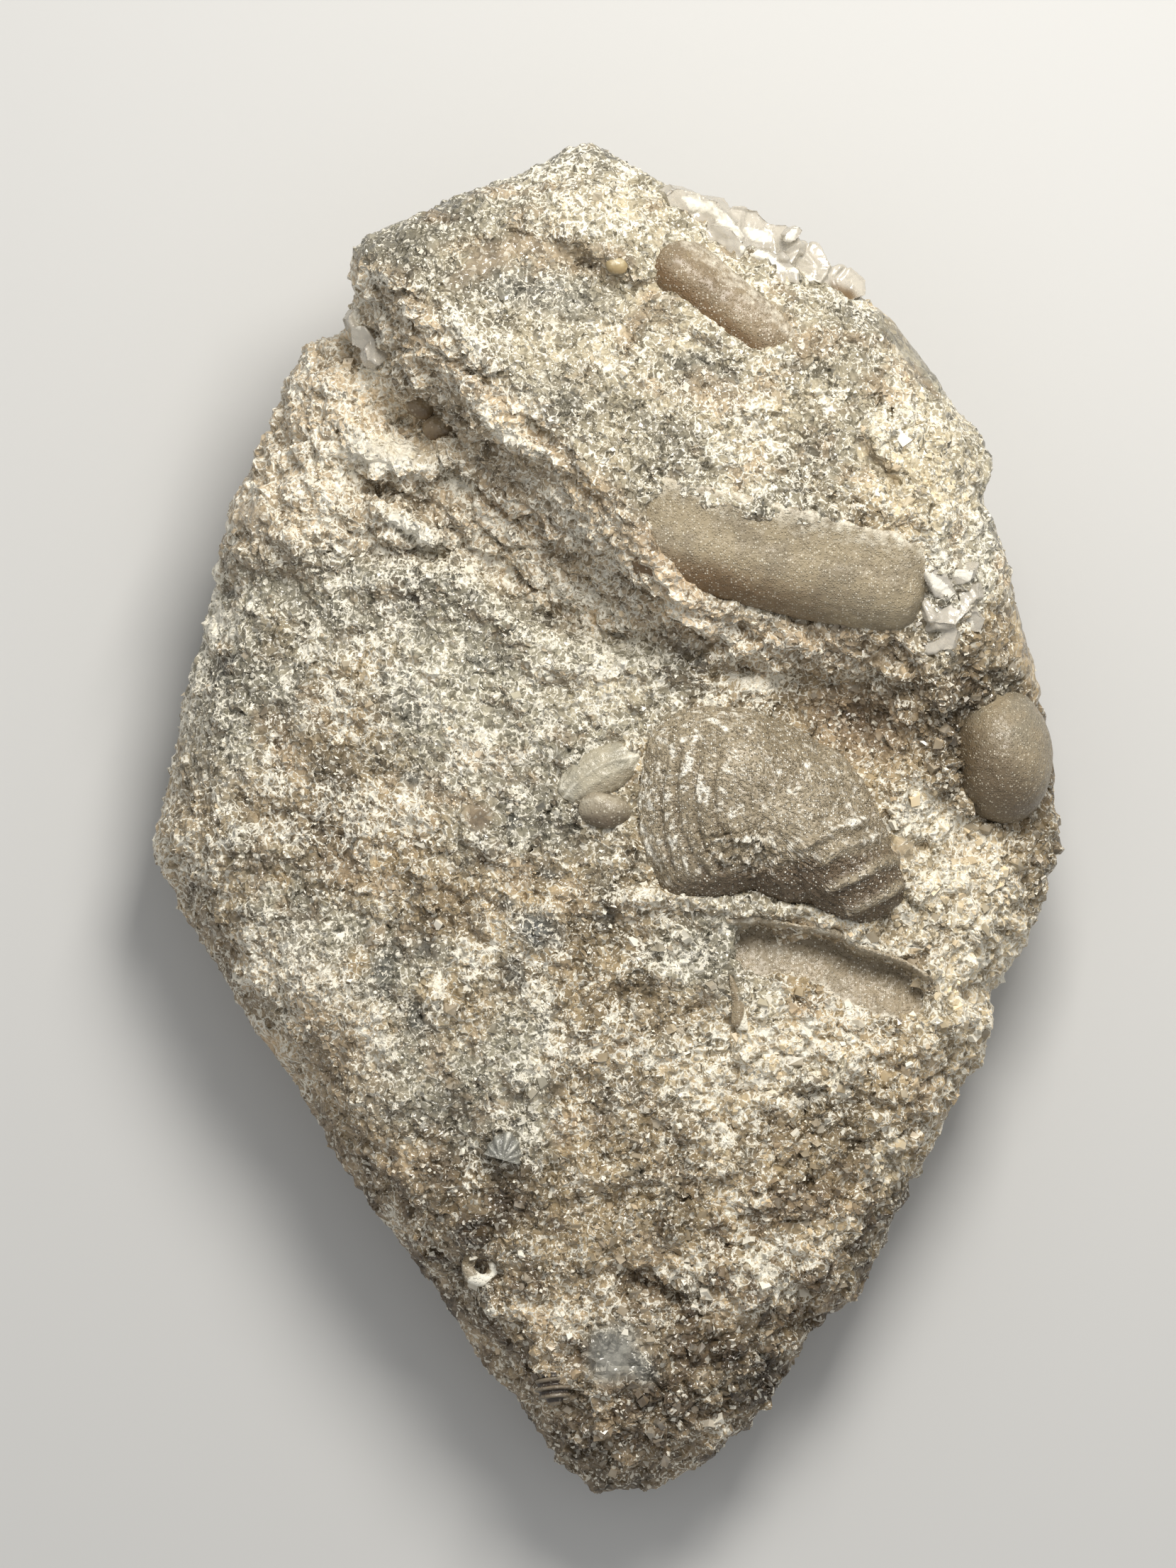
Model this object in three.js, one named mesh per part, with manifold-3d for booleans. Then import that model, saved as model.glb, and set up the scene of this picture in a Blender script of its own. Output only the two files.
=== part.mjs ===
// A loose chip of shelly, crystalline limestone, lying on its flat underside. A trilobite's ribbed
// tail shield, casts, small shells, beads and calcite crystals are set in its upper face.
// Millimetres, +Z up. The origin is on the resting plane, under the middle of the chip.

import * as THREE from 'three';
import { mergeVertices } from 'three/addons/utils/BufferGeometryUtils.js';
import Module from 'manifold-3d';

const { clamp, lerp, smoothstep, degToRad, radToDeg, euclideanModulo } = THREE.MathUtils;

// The stone
const terraceHeight = 25.4; // the upper block, at its crest
const ledgeHeight = 16.6; // the foot of the ledge below the scarp
const ledgeSlope = 0.22; // how fast the ledge climbs towards the scarp
const faceHeight = 17.6; // the lower face, at its highest
const scarpWidth = 3.0; // from the crest to the foot of the scarp
const edgeWidth = 4.2; // how far in from the rim the upper face starts to roll down
const edgeDrop = 5.2; // how far it has dropped at the rim
const rimStep = 2.4; // length of the stretches that the outline is divided into
const upperRings = 15;
const weldTolerance = 1e-4;

// Each fossil and crystal sits in a pocket that is this much larger all round.
const fitGap = 0.3;

// The widest outline, seen from above, anticlockwise from the apex.
const outlinePoints = [
  [-1.1, 40.8], [-4.0, 39.3], [-8.5, 37.5], [-13.1, 35.4], [-15.2, 34.2], [-14.9, 31.9],
  [-15.9, 28.7], [-17.7, 29.2], [-19.3, 26.1], [-21.0, 21.8], [-22.6, 19.1], [-23.8, 14.4],
  [-25.5, 8.1], [-26.4, 2.6], [-27.4, -1.7], [-24.3, -7.4], [-21.4, -12.3], [-18.3, -16.2],
  [-14.8, -22.6], [-9.8, -28.7], [-6.5, -33.8], [-2.8, -38.2], [-0.6, -40.8], [2.1, -40.1],
  [5.1, -39.3], [9.9, -35.1], [12.0, -30.7], [15.2, -28.7], [16.0, -26.6], [19.1, -20.0],
  [23.0, -13.2], [23.3, -9.9], [26.1, -6.0], [27.4, -2.1], [26.9, 1.3], [26.6, 4.5],
  [25.7, 9.1], [23.9, 15.3], [22.4, 19.4], [23.0, 21.7], [20.1, 26.0], [16.9, 30.3],
  [13.9, 32.2], [10.4, 34.4], [6.9, 36.2], [3.3, 38.3],
];

// The chip's broken flanks, which lean in towards the underside: the way each one faces and how far it
// leans, in degrees, and its reach from the middle at the resting plane.
const flankBreaks = [
  { faces: 214, leans: 20, reach: 21.5 },
  { faces: 180, leans: 38, reach: 22.0 },
  { faces: 160, leans: 30, reach: 21.2 },
  { faces: 122, leans: 22, reach: 29.6 },
  { faces: 97, leans: 22, reach: 33.3 },
  { faces: 55, leans: 27, reach: 26.2 },
  { faces: 20, leans: 20, reach: 22.6 },
  { faces: 350, leans: 32, reach: 20.6 },
  { faces: 322, leans: 30, reach: 26.2 },
  { faces: 285, leans: 38, reach: 35.2 },
  { faces: 240, leans: 22, reach: 33.6 },
];

// The crest from the upper left corner, along the long cast, then down the pillar on the right.
// The upper block is on its left hand.
const crestLine = [
  [-17.0, 34.9], [-12.6, 33.2], [-10.9, 31.9], [-9.2, 29.3], [-6.6, 26.8], [-3.7, 23.8],
  [1.9, 18.9], [18.9, 13.8], [19.0, 8.5], [18.6, 3.0], [18.0, 0.0],
];

// Where the ledge meets the lower face, from the left edge to the hollow above the trilobite.
const ledgeLine = [
  [-25.0, 15.0], [-17.3, 15.7], [-12.6, 15.3], [-8.8, 15.1], [-6.6, 13.4], [-2.4, 11.1],
  [4.4, 10.0], [12.5, 8.5], [19.0, 8.1],
];

// Ridges and grooves: the two ends, the half width and the rise.
const ridges = [
  { ends: [[-12.6, 32.8], [-6.8, 26.8]], width: 0.9, rise: 0.7 }, // lip of the crest
  { ends: [[-9.4, 33.0], [-5.0, 27.6]], width: 1.3, rise: -0.7 }, // trough behind the lip
  { ends: [[-7.4, 24.4], [-3.6, 21.6]], width: 0.9, rise: 1.0 }, // second rib of the scarp
  { ends: [[-13.0, 18.7], [-10.9, 17.0]], width: 0.9, rise: 1.2 }, // rib on the ledge
  { ends: [[-12.2, 16.9], [-9.8, 16.0]], width: 0.8, rise: -1.1 }, // notch under that rib
  { ends: [[1.3, 13.9], [4.2, 12.8]], width: 0.8, rise: -0.9 }, // slot under the long cast
  { ends: [[-0.3, -4.4], [8.7, -4.4]], width: 1.0, rise: 0.7 }, // lip below the trilobite
  { ends: [[8.7, -4.4], [15.8, -6.4]], width: 0.8, rise: 0.6 },
  { ends: [[-5.5, 33.5], [1.2, 33.2]], width: 1.6, rise: -0.7 }, // arched impression
  { ends: [[0.6, 34.0], [2.6, 32.9]], width: 0.9, rise: 0.6 }, // lump that overhangs it
  { ends: [[-2.0, -21.6], [7.0, -22.4]], width: 1.4, rise: 0.5 }, // steps of the lower face
  { ends: [[9.0, -21.0], [16.0, -24.5]], width: 1.5, rise: 0.6 },
  { ends: [[2.0, -28.2], [4.2, -28.8]], width: 1.0, rise: -1.2 }, // hole near the tip
];

// Wide hollows: the middle, the two radii, the turn in degrees and the rise.
const hollows = [
  { at: [15.7, 6.0], radii: [3.8, 2.6], turn: -12, rise: -2.4 }, // above the trilobite
  { at: [13.9, -9.0], radii: [6.2, 2.4], turn: -18, rise: -1.0 }, // in front of the arched shell
  { at: [24.4, 4.0], radii: [3.4, 3.8], turn: 0, rise: -3.0 }, // round the edge dome
  { at: [-13.0, 24.5], radii: [3.0, 1.8], turn: -35, rise: -1.0 }, // under the scarp
  { at: [-15.0, -6.0], radii: [9.0, 2.2], turn: -25, rise: -0.5 }, // crease of the lower face
];

function stretch(px, py, [ax, ay], [bx, by]) {
  const along = ((px - ax) * (bx - ax) + (py - ay) * (by - ay)) / ((bx - ax) ** 2 + (by - ay) ** 2);
  const t = Math.min(Math.max(along, 0), 1);
  return Math.hypot(px - lerp(ax, bx, t), py - lerp(ay, by, t));
}

// The distance from a line of points, positive on its left hand.
function beside(px, py, line) {
  let nearest = Infinity;
  let side = 1;
  for (let i = 0; i + 1 < line.length; i += 1) {
    const [a, b] = [line[i], line[i + 1]];
    const distance = stretch(px, py, a, b);
    if (distance < nearest) {
      nearest = distance;
      side = Math.sign((b[0] - a[0]) * (py - a[1]) - (b[1] - a[1]) * (px - a[0])) || 1;
    }
  }
  return nearest * side;
}

function insideRim(px, py) {
  return Math.abs(beside(px, py, [...outlinePoints, outlinePoints[0]]));
}

function terraceAt(x, y) {
  return terraceHeight - 0.08 * (x + 5) - 0.08 * (y - 25) - 0.4 * Math.max(18 - y, 0);
}

function faceAt(x, y) {
  const south = Math.max(8 - y, 0);
  const west = Math.max(1 - x, 0);
  const east = Math.max(x - 1, 0);
  return faceHeight - 0.0022 * south ** 2 - 0.03 * south - 0.0055 * west ** 2 - 0.003 * east ** 2;
}

// The height of the stone's upper side.
function reliefAt(x, y) {
  const face = faceAt(x, y);
  const aboveLedge = beside(x, y, ledgeLine);
  const ledge = ledgeHeight + ledgeSlope * clamp(aboveLedge, 0, 12);
  const lower = lerp(face, ledge, smoothstep(aboveLedge, -1.2, 0.8));
  const upper = Math.max(terraceAt(x, y), face);
  let height = lerp(lower, upper, smoothstep(beside(x, y, crestLine), -scarpWidth, 0));
  for (const { ends, width, rise } of ridges) {
    height += rise * Math.exp(-((stretch(x, y, ends[0], ends[1]) / width) ** 2));
  }
  for (const { at, radii, turn, rise } of hollows) {
    const away = new THREE.Vector2(x - at[0], y - at[1]);
    away.rotateAround(new THREE.Vector2(), degToRad(-turn));
    height += rise * Math.exp(-((away.x / radii[0]) ** 2 + (away.y / radii[1]) ** 2));
  }
  const roll = Math.max(1 - insideRim(x, y) / edgeWidth, 0);
  return height - edgeDrop * roll ** 2;
}

// Closed solids for cutting and joining

const wasm = await Module();
wasm.setup();

function toSolid(geometry) {
  const bare = new THREE.BufferGeometry();
  bare.setAttribute('position', geometry.getAttribute('position'));
  bare.setIndex(geometry.getIndex());
  const welded = mergeVertices(bare, weldTolerance);
  const corners = welded.getIndex().array;
  const kept = [];
  for (let i = 0; i < corners.length; i += 3) {
    const [a, b, c] = corners.subarray(i, i + 3);
    if (a !== b && b !== c && c !== a) kept.push(a, b, c);
  }
  return new wasm.Manifold(new wasm.Mesh({
    numProp: 3,
    vertProperties: Float32Array.from(welded.getAttribute('position').array),
    triVerts: Uint32Array.from(kept),
  }));
}

function toGeometry(solid) {
  const mesh = solid.getMesh();
  const geometry = new THREE.BufferGeometry();
  geometry.setAttribute('position', new THREE.BufferAttribute(mesh.vertProperties, 3));
  geometry.setIndex(new THREE.BufferAttribute(mesh.triVerts, 1));
  geometry.computeVertexNormals();
  return geometry;
}

function joined(geometries) {
  return geometries.map(toSolid).reduce((whole, next) => whole.add(next));
}

// The stone: a lathe of rings, laid on the outline and raised to the relief

function dividedRim() {
  const around = [];
  outlinePoints.forEach(([x, y], i) => {
    const corner = new THREE.Vector2(x, y);
    const next = new THREE.Vector2(...outlinePoints[(i + 1) % outlinePoints.length]);
    const steps = Math.max(Math.round(corner.distanceTo(next) / rimStep), 1);
    for (let step = 0; step < steps; step += 1) {
      around.push(corner.clone().lerp(next, step / steps));
    }
  });
  return around;
}

// All that lies outside one of the flank's breaks.
function breakAway({ faces, leans, reach }) {
  const size = 120;
  const block = new THREE.BoxGeometry(size, size, size).translate(size / 2, 0, 0);
  block.rotateY(degToRad(leans)).translate(reach, 0, 0).rotateZ(degToRad(faces));
  return toSolid(block);
}

function stoneSolid() {
  const around = dividedRim();
  // Share of the outline, then share of the rim's height: the underside and the flank.
  const flank = [[0, 0], [0.93, 0], [0.985, 0.5], [1, 1]];
  const profile = flank.map(([share, up]) => new THREE.Vector2(share, up));
  for (let ring = 1; ring <= upperRings; ring += 1) {
    profile.push(new THREE.Vector2((1 - ring / upperRings) ** 0.85, 2));
  }
  const geometry = new THREE.LatheGeometry(profile, around.length);
  const position = geometry.getAttribute('position');
  for (let i = 0; i < position.count; i += 1) {
    const point = around[Math.floor(i / profile.length) % around.length];
    const { x: share, y: up } = profile[i % profile.length];
    const [x, y] = [point.x * share, point.y * share];
    const height = up > 1 ? reliefAt(x, y) : up * reliefAt(point.x, point.y);
    position.setXYZ(i, x, y, height);
  }
  return flankBreaks.map(breakAway).reduce((stone, block) => stone.subtract(block), toSolid(geometry));
}

// Fossil shapes, each about its own middle and grown by a gap for its pocket

const roundLump = ({ radii, segments = 14, rings = 8 }) => (grow) => {
  const geometry = new THREE.SphereGeometry(1, segments, rings).rotateX(Math.PI / 2);
  return geometry.scale(...radii.map((radius) => radius + grow));
};

// A cast of rounded section, tapered to its two ends, along X.
const roundCast = ({ length, radius, start, end, segments = 16 }) => (grow) => {
  const half = length / 2 + grow;
  const stations = [[-1, 0], [-1, start * 0.7], [-0.93, start], [-0.4, 1], [0.4, 1], [0.95, end],
    [1, end * 0.8], [1, 0]];
  const profile = stations.map(([along, share]) => {
    const wide = share && share * radius + grow;
    return new THREE.Vector2(wide, along * half);
  });
  return new THREE.LatheGeometry(profile, segments).rotateZ(-Math.PI / 2);
};

// The tail shield: a dome whose segments show as ribs round its margin, in the given sectors.
const ribbedDome = ({ radii, ribSpacing, ribDepth, ribSectors }) => (grow) => {
  const geometry = new THREE.SphereGeometry(1, 32, 14).rotateX(Math.PI / 2);
  const position = geometry.getAttribute('position');
  const point = new THREE.Vector3();
  for (let i = 0; i < position.count && !grow; i += 1) {
    point.fromBufferAttribute(position, i);
    const around = radToDeg(Math.atan2(point.y, point.x));
    const reach = Math.hypot(point.x, point.y);
    const shown = ribSectors.map(({ middle, half }) => {
      const off = Math.abs(euclideanModulo(around - middle + 180, 360) - 180);
      return smoothstep(half - off, 0, 20);
    });
    const wave = 0.5 + 0.5 * Math.cos((2 * Math.PI * reach * radii[0]) / ribSpacing);
    point.multiplyScalar(1 - ribDepth * Math.max(...shown) * wave * reach);
    position.setXYZ(i, point.x, point.y, point.z);
  }
  return geometry.scale(...radii.map((radius) => radius + grow));
};

// A shell seen from inside: a slab cut to its outline, with a spoon-shaped hollow in it.
const spoonShell = ({ outline, depth, spoon }) => (grow) => {
  const middle = outline.reduce((sum, [x, y]) => [sum[0] + x, sum[1] + y], [0, 0]);
  const centre = middle.map((total) => total / outline.length);
  const points = outline.map(([x, y]) => {
    const reach = Math.hypot(x - centre[0], y - centre[1]);
    const share = (reach + grow * 2.2) / reach;
    return new THREE.Vector2(lerp(centre[0], x, share), lerp(centre[1], y, share));
  });
  const slab = new THREE.ExtrudeGeometry(new THREE.Shape(points), {
    depth: depth + 2 * grow,
    bevelEnabled: false,
  }).translate(0, 0, -depth / 2 - grow);
  if (grow > 0) return slab;
  const hollow = new THREE.SphereGeometry(1, 24, 12).rotateX(Math.PI / 2);
  hollow.scale(...spoon.radii).rotateZ(degToRad(spoon.turn)).translate(...spoon.at);
  return toGeometry(toSolid(slab).subtract(toSolid(hollow)));
};

// A curved sliver of shell, pointed at both ends.
const sliver = ({ length, width, bend, depth }) => (grow) => {
  const half = length / 2 + 2 * grow;
  const shape = new THREE.Shape();
  shape.moveTo(0, -half);
  shape.quadraticCurveTo(bend + width + 3 * grow, 0, 0, half);
  shape.quadraticCurveTo(bend - width - 3 * grow, 0, 0, -half);
  const deep = depth + 2 * grow;
  return new THREE.ExtrudeGeometry(shape, { depth: deep, bevelEnabled: false, curveSegments: 6 })
    .translate(0, 0, -deep / 2);
};

// A small block with rounded ribs across it.
const ribbedBlock = ({ size, ribs, ribRadius }) => (grow) => {
  const [wide, long, deep] = size.map((side) => side + 2 * grow);
  const geometries = [new THREE.BoxGeometry(wide, long, deep)];
  for (let i = 0; i < ribs && !grow; i += 1) {
    const across = new THREE.CylinderGeometry(ribRadius, ribRadius, wide * 0.9, 8);
    across.rotateZ(Math.PI / 2).translate(0, ((i + 0.5) / ribs - 0.5) * long, deep / 2);
    geometries.push(across);
  }
  return toGeometry(joined(geometries));
};

const ring = ({ radius, tube }) => (grow) => (grow
  ? new THREE.CylinderGeometry(radius + tube + grow, radius + tube + grow, 2 * (tube + grow), 12)
    .rotateX(Math.PI / 2)
  : new THREE.TorusGeometry(radius, tube, 6, 12));

// A shell like an open fan, hinged at its lower end.
const fan = ({ radius, spread, depth }) => (grow) => {
  const shape = new THREE.Shape();
  const half = degToRad(spread / 2);
  const reach = radius + 3 * grow;
  shape.moveTo(0, -radius / 2 - 3 * grow);
  shape.lineTo(Math.sin(half) * reach, Math.cos(half) * reach - radius / 2);
  shape.absarc(0, -radius / 2, reach, Math.PI / 2 - half, Math.PI / 2 + half, false);
  const deep = depth + 2 * grow;
  return new THREE.ExtrudeGeometry(shape, { depth: deep, bevelEnabled: false, curveSegments: 8 })
    .translate(0, 0, -deep / 2);
};

// Six-sided calcite crystals, pointed at both ends and grown into each other.
const crystalGroup = (crystals) => (grow) => {
  const grown = crystals.map(({ at, radius, length, lean }) => {
    const [wide, half] = [radius + grow, length / 2 + grow];
    const profile = [[0, -half], [wide, -half * 0.45], [wide, half * 0.45], [0, half]];
    const points = profile.map(([reach, along]) => new THREE.Vector2(reach, along));
    const turn = new THREE.Euler(degToRad(lean[0]), degToRad(lean[1]), degToRad(lean[2]));
    const place = new THREE.Matrix4().makeRotationFromEuler(turn).setPosition(...at);
    return new THREE.LatheGeometry(points, 6).applyMatrix4(place);
  });
  return toGeometry(joined(grown));
};

// The fossils and crystals, each with its place on the stone

const tan = 0xa59678;
const brown = 0x7a6243;
const calcite = 0xe6e3da;

const pieces = [
  {
    name: 'trilobite_tail',
    shape: ribbedDome({
      radii: [7.6, 5.8, 4.6],
      ribSpacing: 1.9,
      ribDepth: 0.05,
      ribSectors: [{ middle: -35, half: 45 }, { middle: -150, half: 50 }],
    }),
    at: [9.6, 1.3, 16.2],
    turn: [0, 0, -14],
    colour: 0x8f8a78,
  },
  {
    name: 'long_smooth_cast',
    shape: roundCast({ length: 16.6, radius: 3.0, start: 0.55, end: 0.93, segments: 20 }),
    at: [10.3, 16.3, 21.6],
    turn: [0, 4, -16.5],
    colour: tan,
  },
  {
    name: 'upper_smooth_cast',
    shape: roundCast({ length: 8.0, radius: 1.75, start: 0.8, end: 0.6 }),
    at: [6.9, 31.1, 23.0],
    turn: [0, 2, -47],
    colour: tan,
  },
  {
    name: 'edge_dome_cast',
    shape: roundLump({ radii: [3.2, 3.4, 3.0], segments: 16, rings: 9 }),
    at: [23.2, 4.0, 15.4],
    turn: [0, 15, 0],
    colour: brown,
  },
  {
    name: 'arched_shell',
    shape: spoonShell({
      outline: [
        [-6.8, 2.6], [-4.3, 3.3], [-1.9, 3.0], [0.3, 2.2], [3.7, 0.7], [6.6, -0.7],
        [6.2, -2.6], [2.8, -3.4], [-1.1, -3.0], [-4.9, -0.4],
      ],
      depth: 2.2,
      spoon: { radii: [7.2, 3.0, 1.9], turn: -20, at: [0.2, -0.9, 1.5] },
    }),
    at: [13.7, -8.7, 15.6],
    turn: [0, 0, 0],
    colour: tan,
  },
  {
    name: 'small_oval_shell',
    shape: roundLump({ radii: [2.5, 1.2, 1.2] }),
    at: [-0.9, 3.3, 17.6],
    turn: [0, 0, 14],
    colour: 0xb9ae93,
  },
  {
    name: 'oval_bead',
    shape: roundLump({ radii: [1.35, 0.95, 0.95], segments: 12 }),
    at: [-0.2, 0.6, 17.6],
    turn: [0, 0, -4],
    colour: brown,
  },
  {
    name: 'amber_bead',
    shape: roundLump({ radii: [0.6, 0.55, 0.55], segments: 10, rings: 6 }),
    at: [0.6, 33.0, 24.2],
    turn: [0, 0, 0],
    colour: 0xd9c07a,
  },
  {
    name: 'brown_bead_upper',
    shape: roundLump({ radii: [0.65, 0.6, 0.6], segments: 10, rings: 6 }),
    at: [-11.4, 25.0, 18.5],
    turn: [0, 0, 0],
    colour: brown,
  },
  {
    name: 'brown_bead_lower',
    shape: roundLump({ radii: [0.85, 0.65, 0.65], segments: 10, rings: 6 }),
    at: [-10.1, 23.2, 18.3],
    turn: [0, 0, -12],
    colour: brown,
  },
  {
    name: 'shell_sliver',
    shape: sliver({ length: 2.9, width: 0.8, bend: 0.5, depth: 1.0 }),
    at: [7.7, -11.2, 16.3],
    turn: [0, 0, 8],
    colour: 0xc0a77c,
  },
  {
    name: 'ribbed_fragment',
    shape: ribbedBlock({ size: [1.9, 2.2, 0.9], ribs: 4, ribRadius: 0.2 }),
    at: [-3.3, -33.9, 12.1],
    turn: [0, 0, 6],
    colour: 0x4d463c,
  },
  {
    name: 'fan_shell',
    shape: fan({ radius: 1.5, spread: 120, depth: 0.9 }),
    at: [-6.2, -19.3, 15.1],
    turn: [0, 0, 20],
    colour: 0x8d979a,
  },
  {
    name: 'ring_fossil',
    shape: ring({ radius: 0.95, tube: 0.35 }),
    at: [-7.5, -26.4, 12.8],
    turn: [0, 0, 0],
    colour: 0x8a7b62,
  },
  {
    name: 'calcite_crust',
    shape: crystalGroup([
      { at: [-6.8, 3.9, 0.9], radius: 1.0, length: 3.0, lean: [70, 0, -50] },
      { at: [-5.4, 3.2, 0.3], radius: 1.2, length: 3.0, lean: [30, 20, 40] },
      { at: [-4.0, 2.5, 0.5], radius: 1.1, length: 3.4, lean: [60, -20, -30] },
      { at: [-2.5, 1.6, 0.0], radius: 1.3, length: 3.2, lean: [15, 35, 10] },
      { at: [-1.0, 1.0, 0.6], radius: 1.1, length: 3.4, lean: [80, 10, -65] },
      { at: [0.1, 0.9, 0.2], radius: 0.7, length: 3.0, lean: [-15, 15, 0] },
      { at: [0.9, -0.4, -0.2], radius: 1.2, length: 3.0, lean: [25, -30, 20] },
      { at: [2.3, -1.2, 0.3], radius: 1.1, length: 3.0, lean: [65, 15, 30] },
      { at: [3.6, -1.8, 0.0], radius: 1.2, length: 3.2, lean: [75, 0, -60] },
      { at: [4.3, -2.5, -0.5], radius: 1.0, length: 2.6, lean: [35, 40, 0] },
    ]),
    at: [10.9, 33.7, 19.6],
    turn: [0, 0, 0],
    colour: calcite,
  },
  {
    name: 'end_crystals',
    shape: crystalGroup([
      { at: [-0.9, 1.0, 0.6], radius: 1.0, length: 3.0, lean: [25, 20, 10] },
      { at: [0.5, 0.6, 0.8], radius: 1.1, length: 3.0, lean: [60, 0, -40] },
      { at: [-0.6, -0.8, 0.2], radius: 1.1, length: 3.0, lean: [20, -30, 0] },
      { at: [0.9, -0.9, 0.3], radius: 0.9, length: 2.6, lean: [70, 10, 35] },
    ]),
    at: [21.5, 13.1, 20.9],
    turn: [0, 0, 0],
    colour: calcite,
  },
  {
    name: 'notch_crystals',
    shape: crystalGroup([
      { at: [-0.5, 0.6, 0], radius: 0.9, length: 2.8, lean: [20, 10, 0] },
      { at: [0.5, -0.1, 0.4], radius: 0.9, length: 2.6, lean: [55, 0, 30] },
      { at: [-0.3, -0.8, -0.3], radius: 0.8, length: 2.4, lean: [10, -25, 0] },
    ]),
    at: [-14.3, 28.6, 18.6],
    turn: [0, 0, 0],
    colour: 0xb4b4ac,
  },
];

function material(colour) {
  return new THREE.MeshStandardMaterial({ color: colour, roughness: 0.75, metalness: 0 });
}

const group = new THREE.Group();
let stone = stoneSolid();
for (const { name, shape, at, turn, colour } of pieces) {
  const mesh = new THREE.Mesh(shape(0), material(colour));
  mesh.name = name;
  mesh.position.set(...at);
  mesh.rotation.set(...turn.map(degToRad));
  mesh.updateMatrix();
  stone = stone.subtract(toSolid(shape(fitGap).applyMatrix4(mesh.matrix)));
  group.add(mesh);
}

const matrixStone = new THREE.Mesh(toGeometry(stone), material(0xb7ad95));
matrixStone.name = 'matrix_stone';
group.add(matrixStone);

export default group;
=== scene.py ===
import math

import bpy
import numpy as np
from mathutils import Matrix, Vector


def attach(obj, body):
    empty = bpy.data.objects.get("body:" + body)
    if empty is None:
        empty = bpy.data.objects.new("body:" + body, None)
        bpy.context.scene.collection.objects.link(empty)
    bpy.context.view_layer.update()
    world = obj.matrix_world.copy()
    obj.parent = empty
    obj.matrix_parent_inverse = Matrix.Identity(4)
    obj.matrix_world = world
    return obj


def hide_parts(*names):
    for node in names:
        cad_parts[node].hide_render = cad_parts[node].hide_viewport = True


# A loose chip of shelly, crystalline limestone. A trilobite's ribbed tail shield, casts, small shells,
# beads and calcite crystals stand in its upper face. The shapes below are listed in millimetres, and
# Blender's own unit is the metre.

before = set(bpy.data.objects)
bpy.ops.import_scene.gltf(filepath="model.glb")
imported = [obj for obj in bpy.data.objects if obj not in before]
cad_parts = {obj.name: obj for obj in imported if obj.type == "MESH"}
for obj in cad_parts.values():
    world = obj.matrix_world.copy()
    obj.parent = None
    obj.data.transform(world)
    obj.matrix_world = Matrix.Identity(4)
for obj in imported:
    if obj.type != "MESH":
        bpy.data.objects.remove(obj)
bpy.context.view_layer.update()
mm = 0.001
print("frame loaded:", len(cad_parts), "pieces")


# Meshes as arrays of points, in millimetres

def deselectAll():
    if bpy.context.mode != "OBJECT":
        bpy.ops.object.mode_set(mode="OBJECT")
    bpy.ops.object.select_all(action="DESELECT")


def makeActive(piece):
    deselectAll()
    piece.select_set(True)
    bpy.context.view_layer.objects.active = piece


def readAll(items, name, width=1, kind=np.float32):
    found = np.empty(len(items) * width, kind)
    items.foreach_get(name, found)
    return found.reshape(-1, width) if width > 1 else found


def pointsOf(piece):
    return readAll(piece.data.vertices, "co", 3).astype(float) / mm


def setPoints(piece, points):
    piece.data.vertices.foreach_set("co", (points * mm).astype(np.float32).ravel())
    piece.data.update()


def normalsOf(piece):
    return readAll(piece.data.vertex_normals, "vector", 3).astype(float)


# Moves each point out along its normal.
def swell(piece, rise):
    setPoints(piece, pointsOf(piece) + normalsOf(piece) * rise[:, None])


# The piece just added, named, with its place, turn and size put into its mesh.
def takeNew(name):
    piece = bpy.context.object
    piece.name = name
    bpy.ops.object.transform_apply(location=True, rotation=True, scale=True)
    return piece


def shadeSmooth(piece):
    makeActive(piece)
    bpy.ops.object.shade_smooth()


# Blender's own threshold is a tenth of a millimetre, which is too wide for small fossils.
def cut(piece, place, way, **settings):
    makeActive(piece)
    bpy.ops.object.mode_set(mode="EDIT")
    bpy.ops.mesh.select_all(action="SELECT")
    bpy.ops.mesh.bisect(plane_co=place, plane_no=way, threshold=0.001 * mm, **settings)
    bpy.ops.object.mode_set(mode="OBJECT")


def applyModifier(piece, kind, **settings):
    makeActive(piece)
    modifier = piece.modifiers.new(kind.title(), kind)
    for name, value in settings.items():
        setattr(modifier, name, value)
    bpy.ops.object.modifier_apply(modifier=modifier.name)


def paint(piece, **tints):
    for name, values in tints.items():
        attribute = piece.data.attributes.new(name, "FLOAT", "POINT")
        attribute.data.foreach_set("value", values.astype(np.float32))


def numbersOf(piece, name):
    return readAll(piece.data.attributes[name].data, "value").astype(float)


def smoothly(value, low, high):
    t = np.clip((value - low) / (high - low), 0, 1)
    return t * t * (3 - 2 * t)


# Noise that is the same each time: three numbers from 0 to 1 for a cell

def cellNumbers(cells, seed):
    whole = cells.astype(np.int64).astype(np.uint32)
    mixed = whole[..., 0] * np.uint32(73856093)
    mixed = mixed ^ (whole[..., 1] * np.uint32(19349663))
    mixed = mixed ^ (whole[..., 2] * np.uint32(83492791))
    mixed = mixed ^ np.uint32(seed * 2654435761 % 2**32)
    numbers = []
    for turn in range(3):
        mixed = (mixed ^ (mixed >> np.uint32(16))) * np.uint32(2246822507 + 2 * turn)
        mixed = (mixed ^ (mixed >> np.uint32(13))) * np.uint32(3266489909)
        mixed = mixed ^ (mixed >> np.uint32(16))
        numbers.append(mixed.astype(float) / 2**32)
    return np.stack(numbers, axis=-1)


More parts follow.
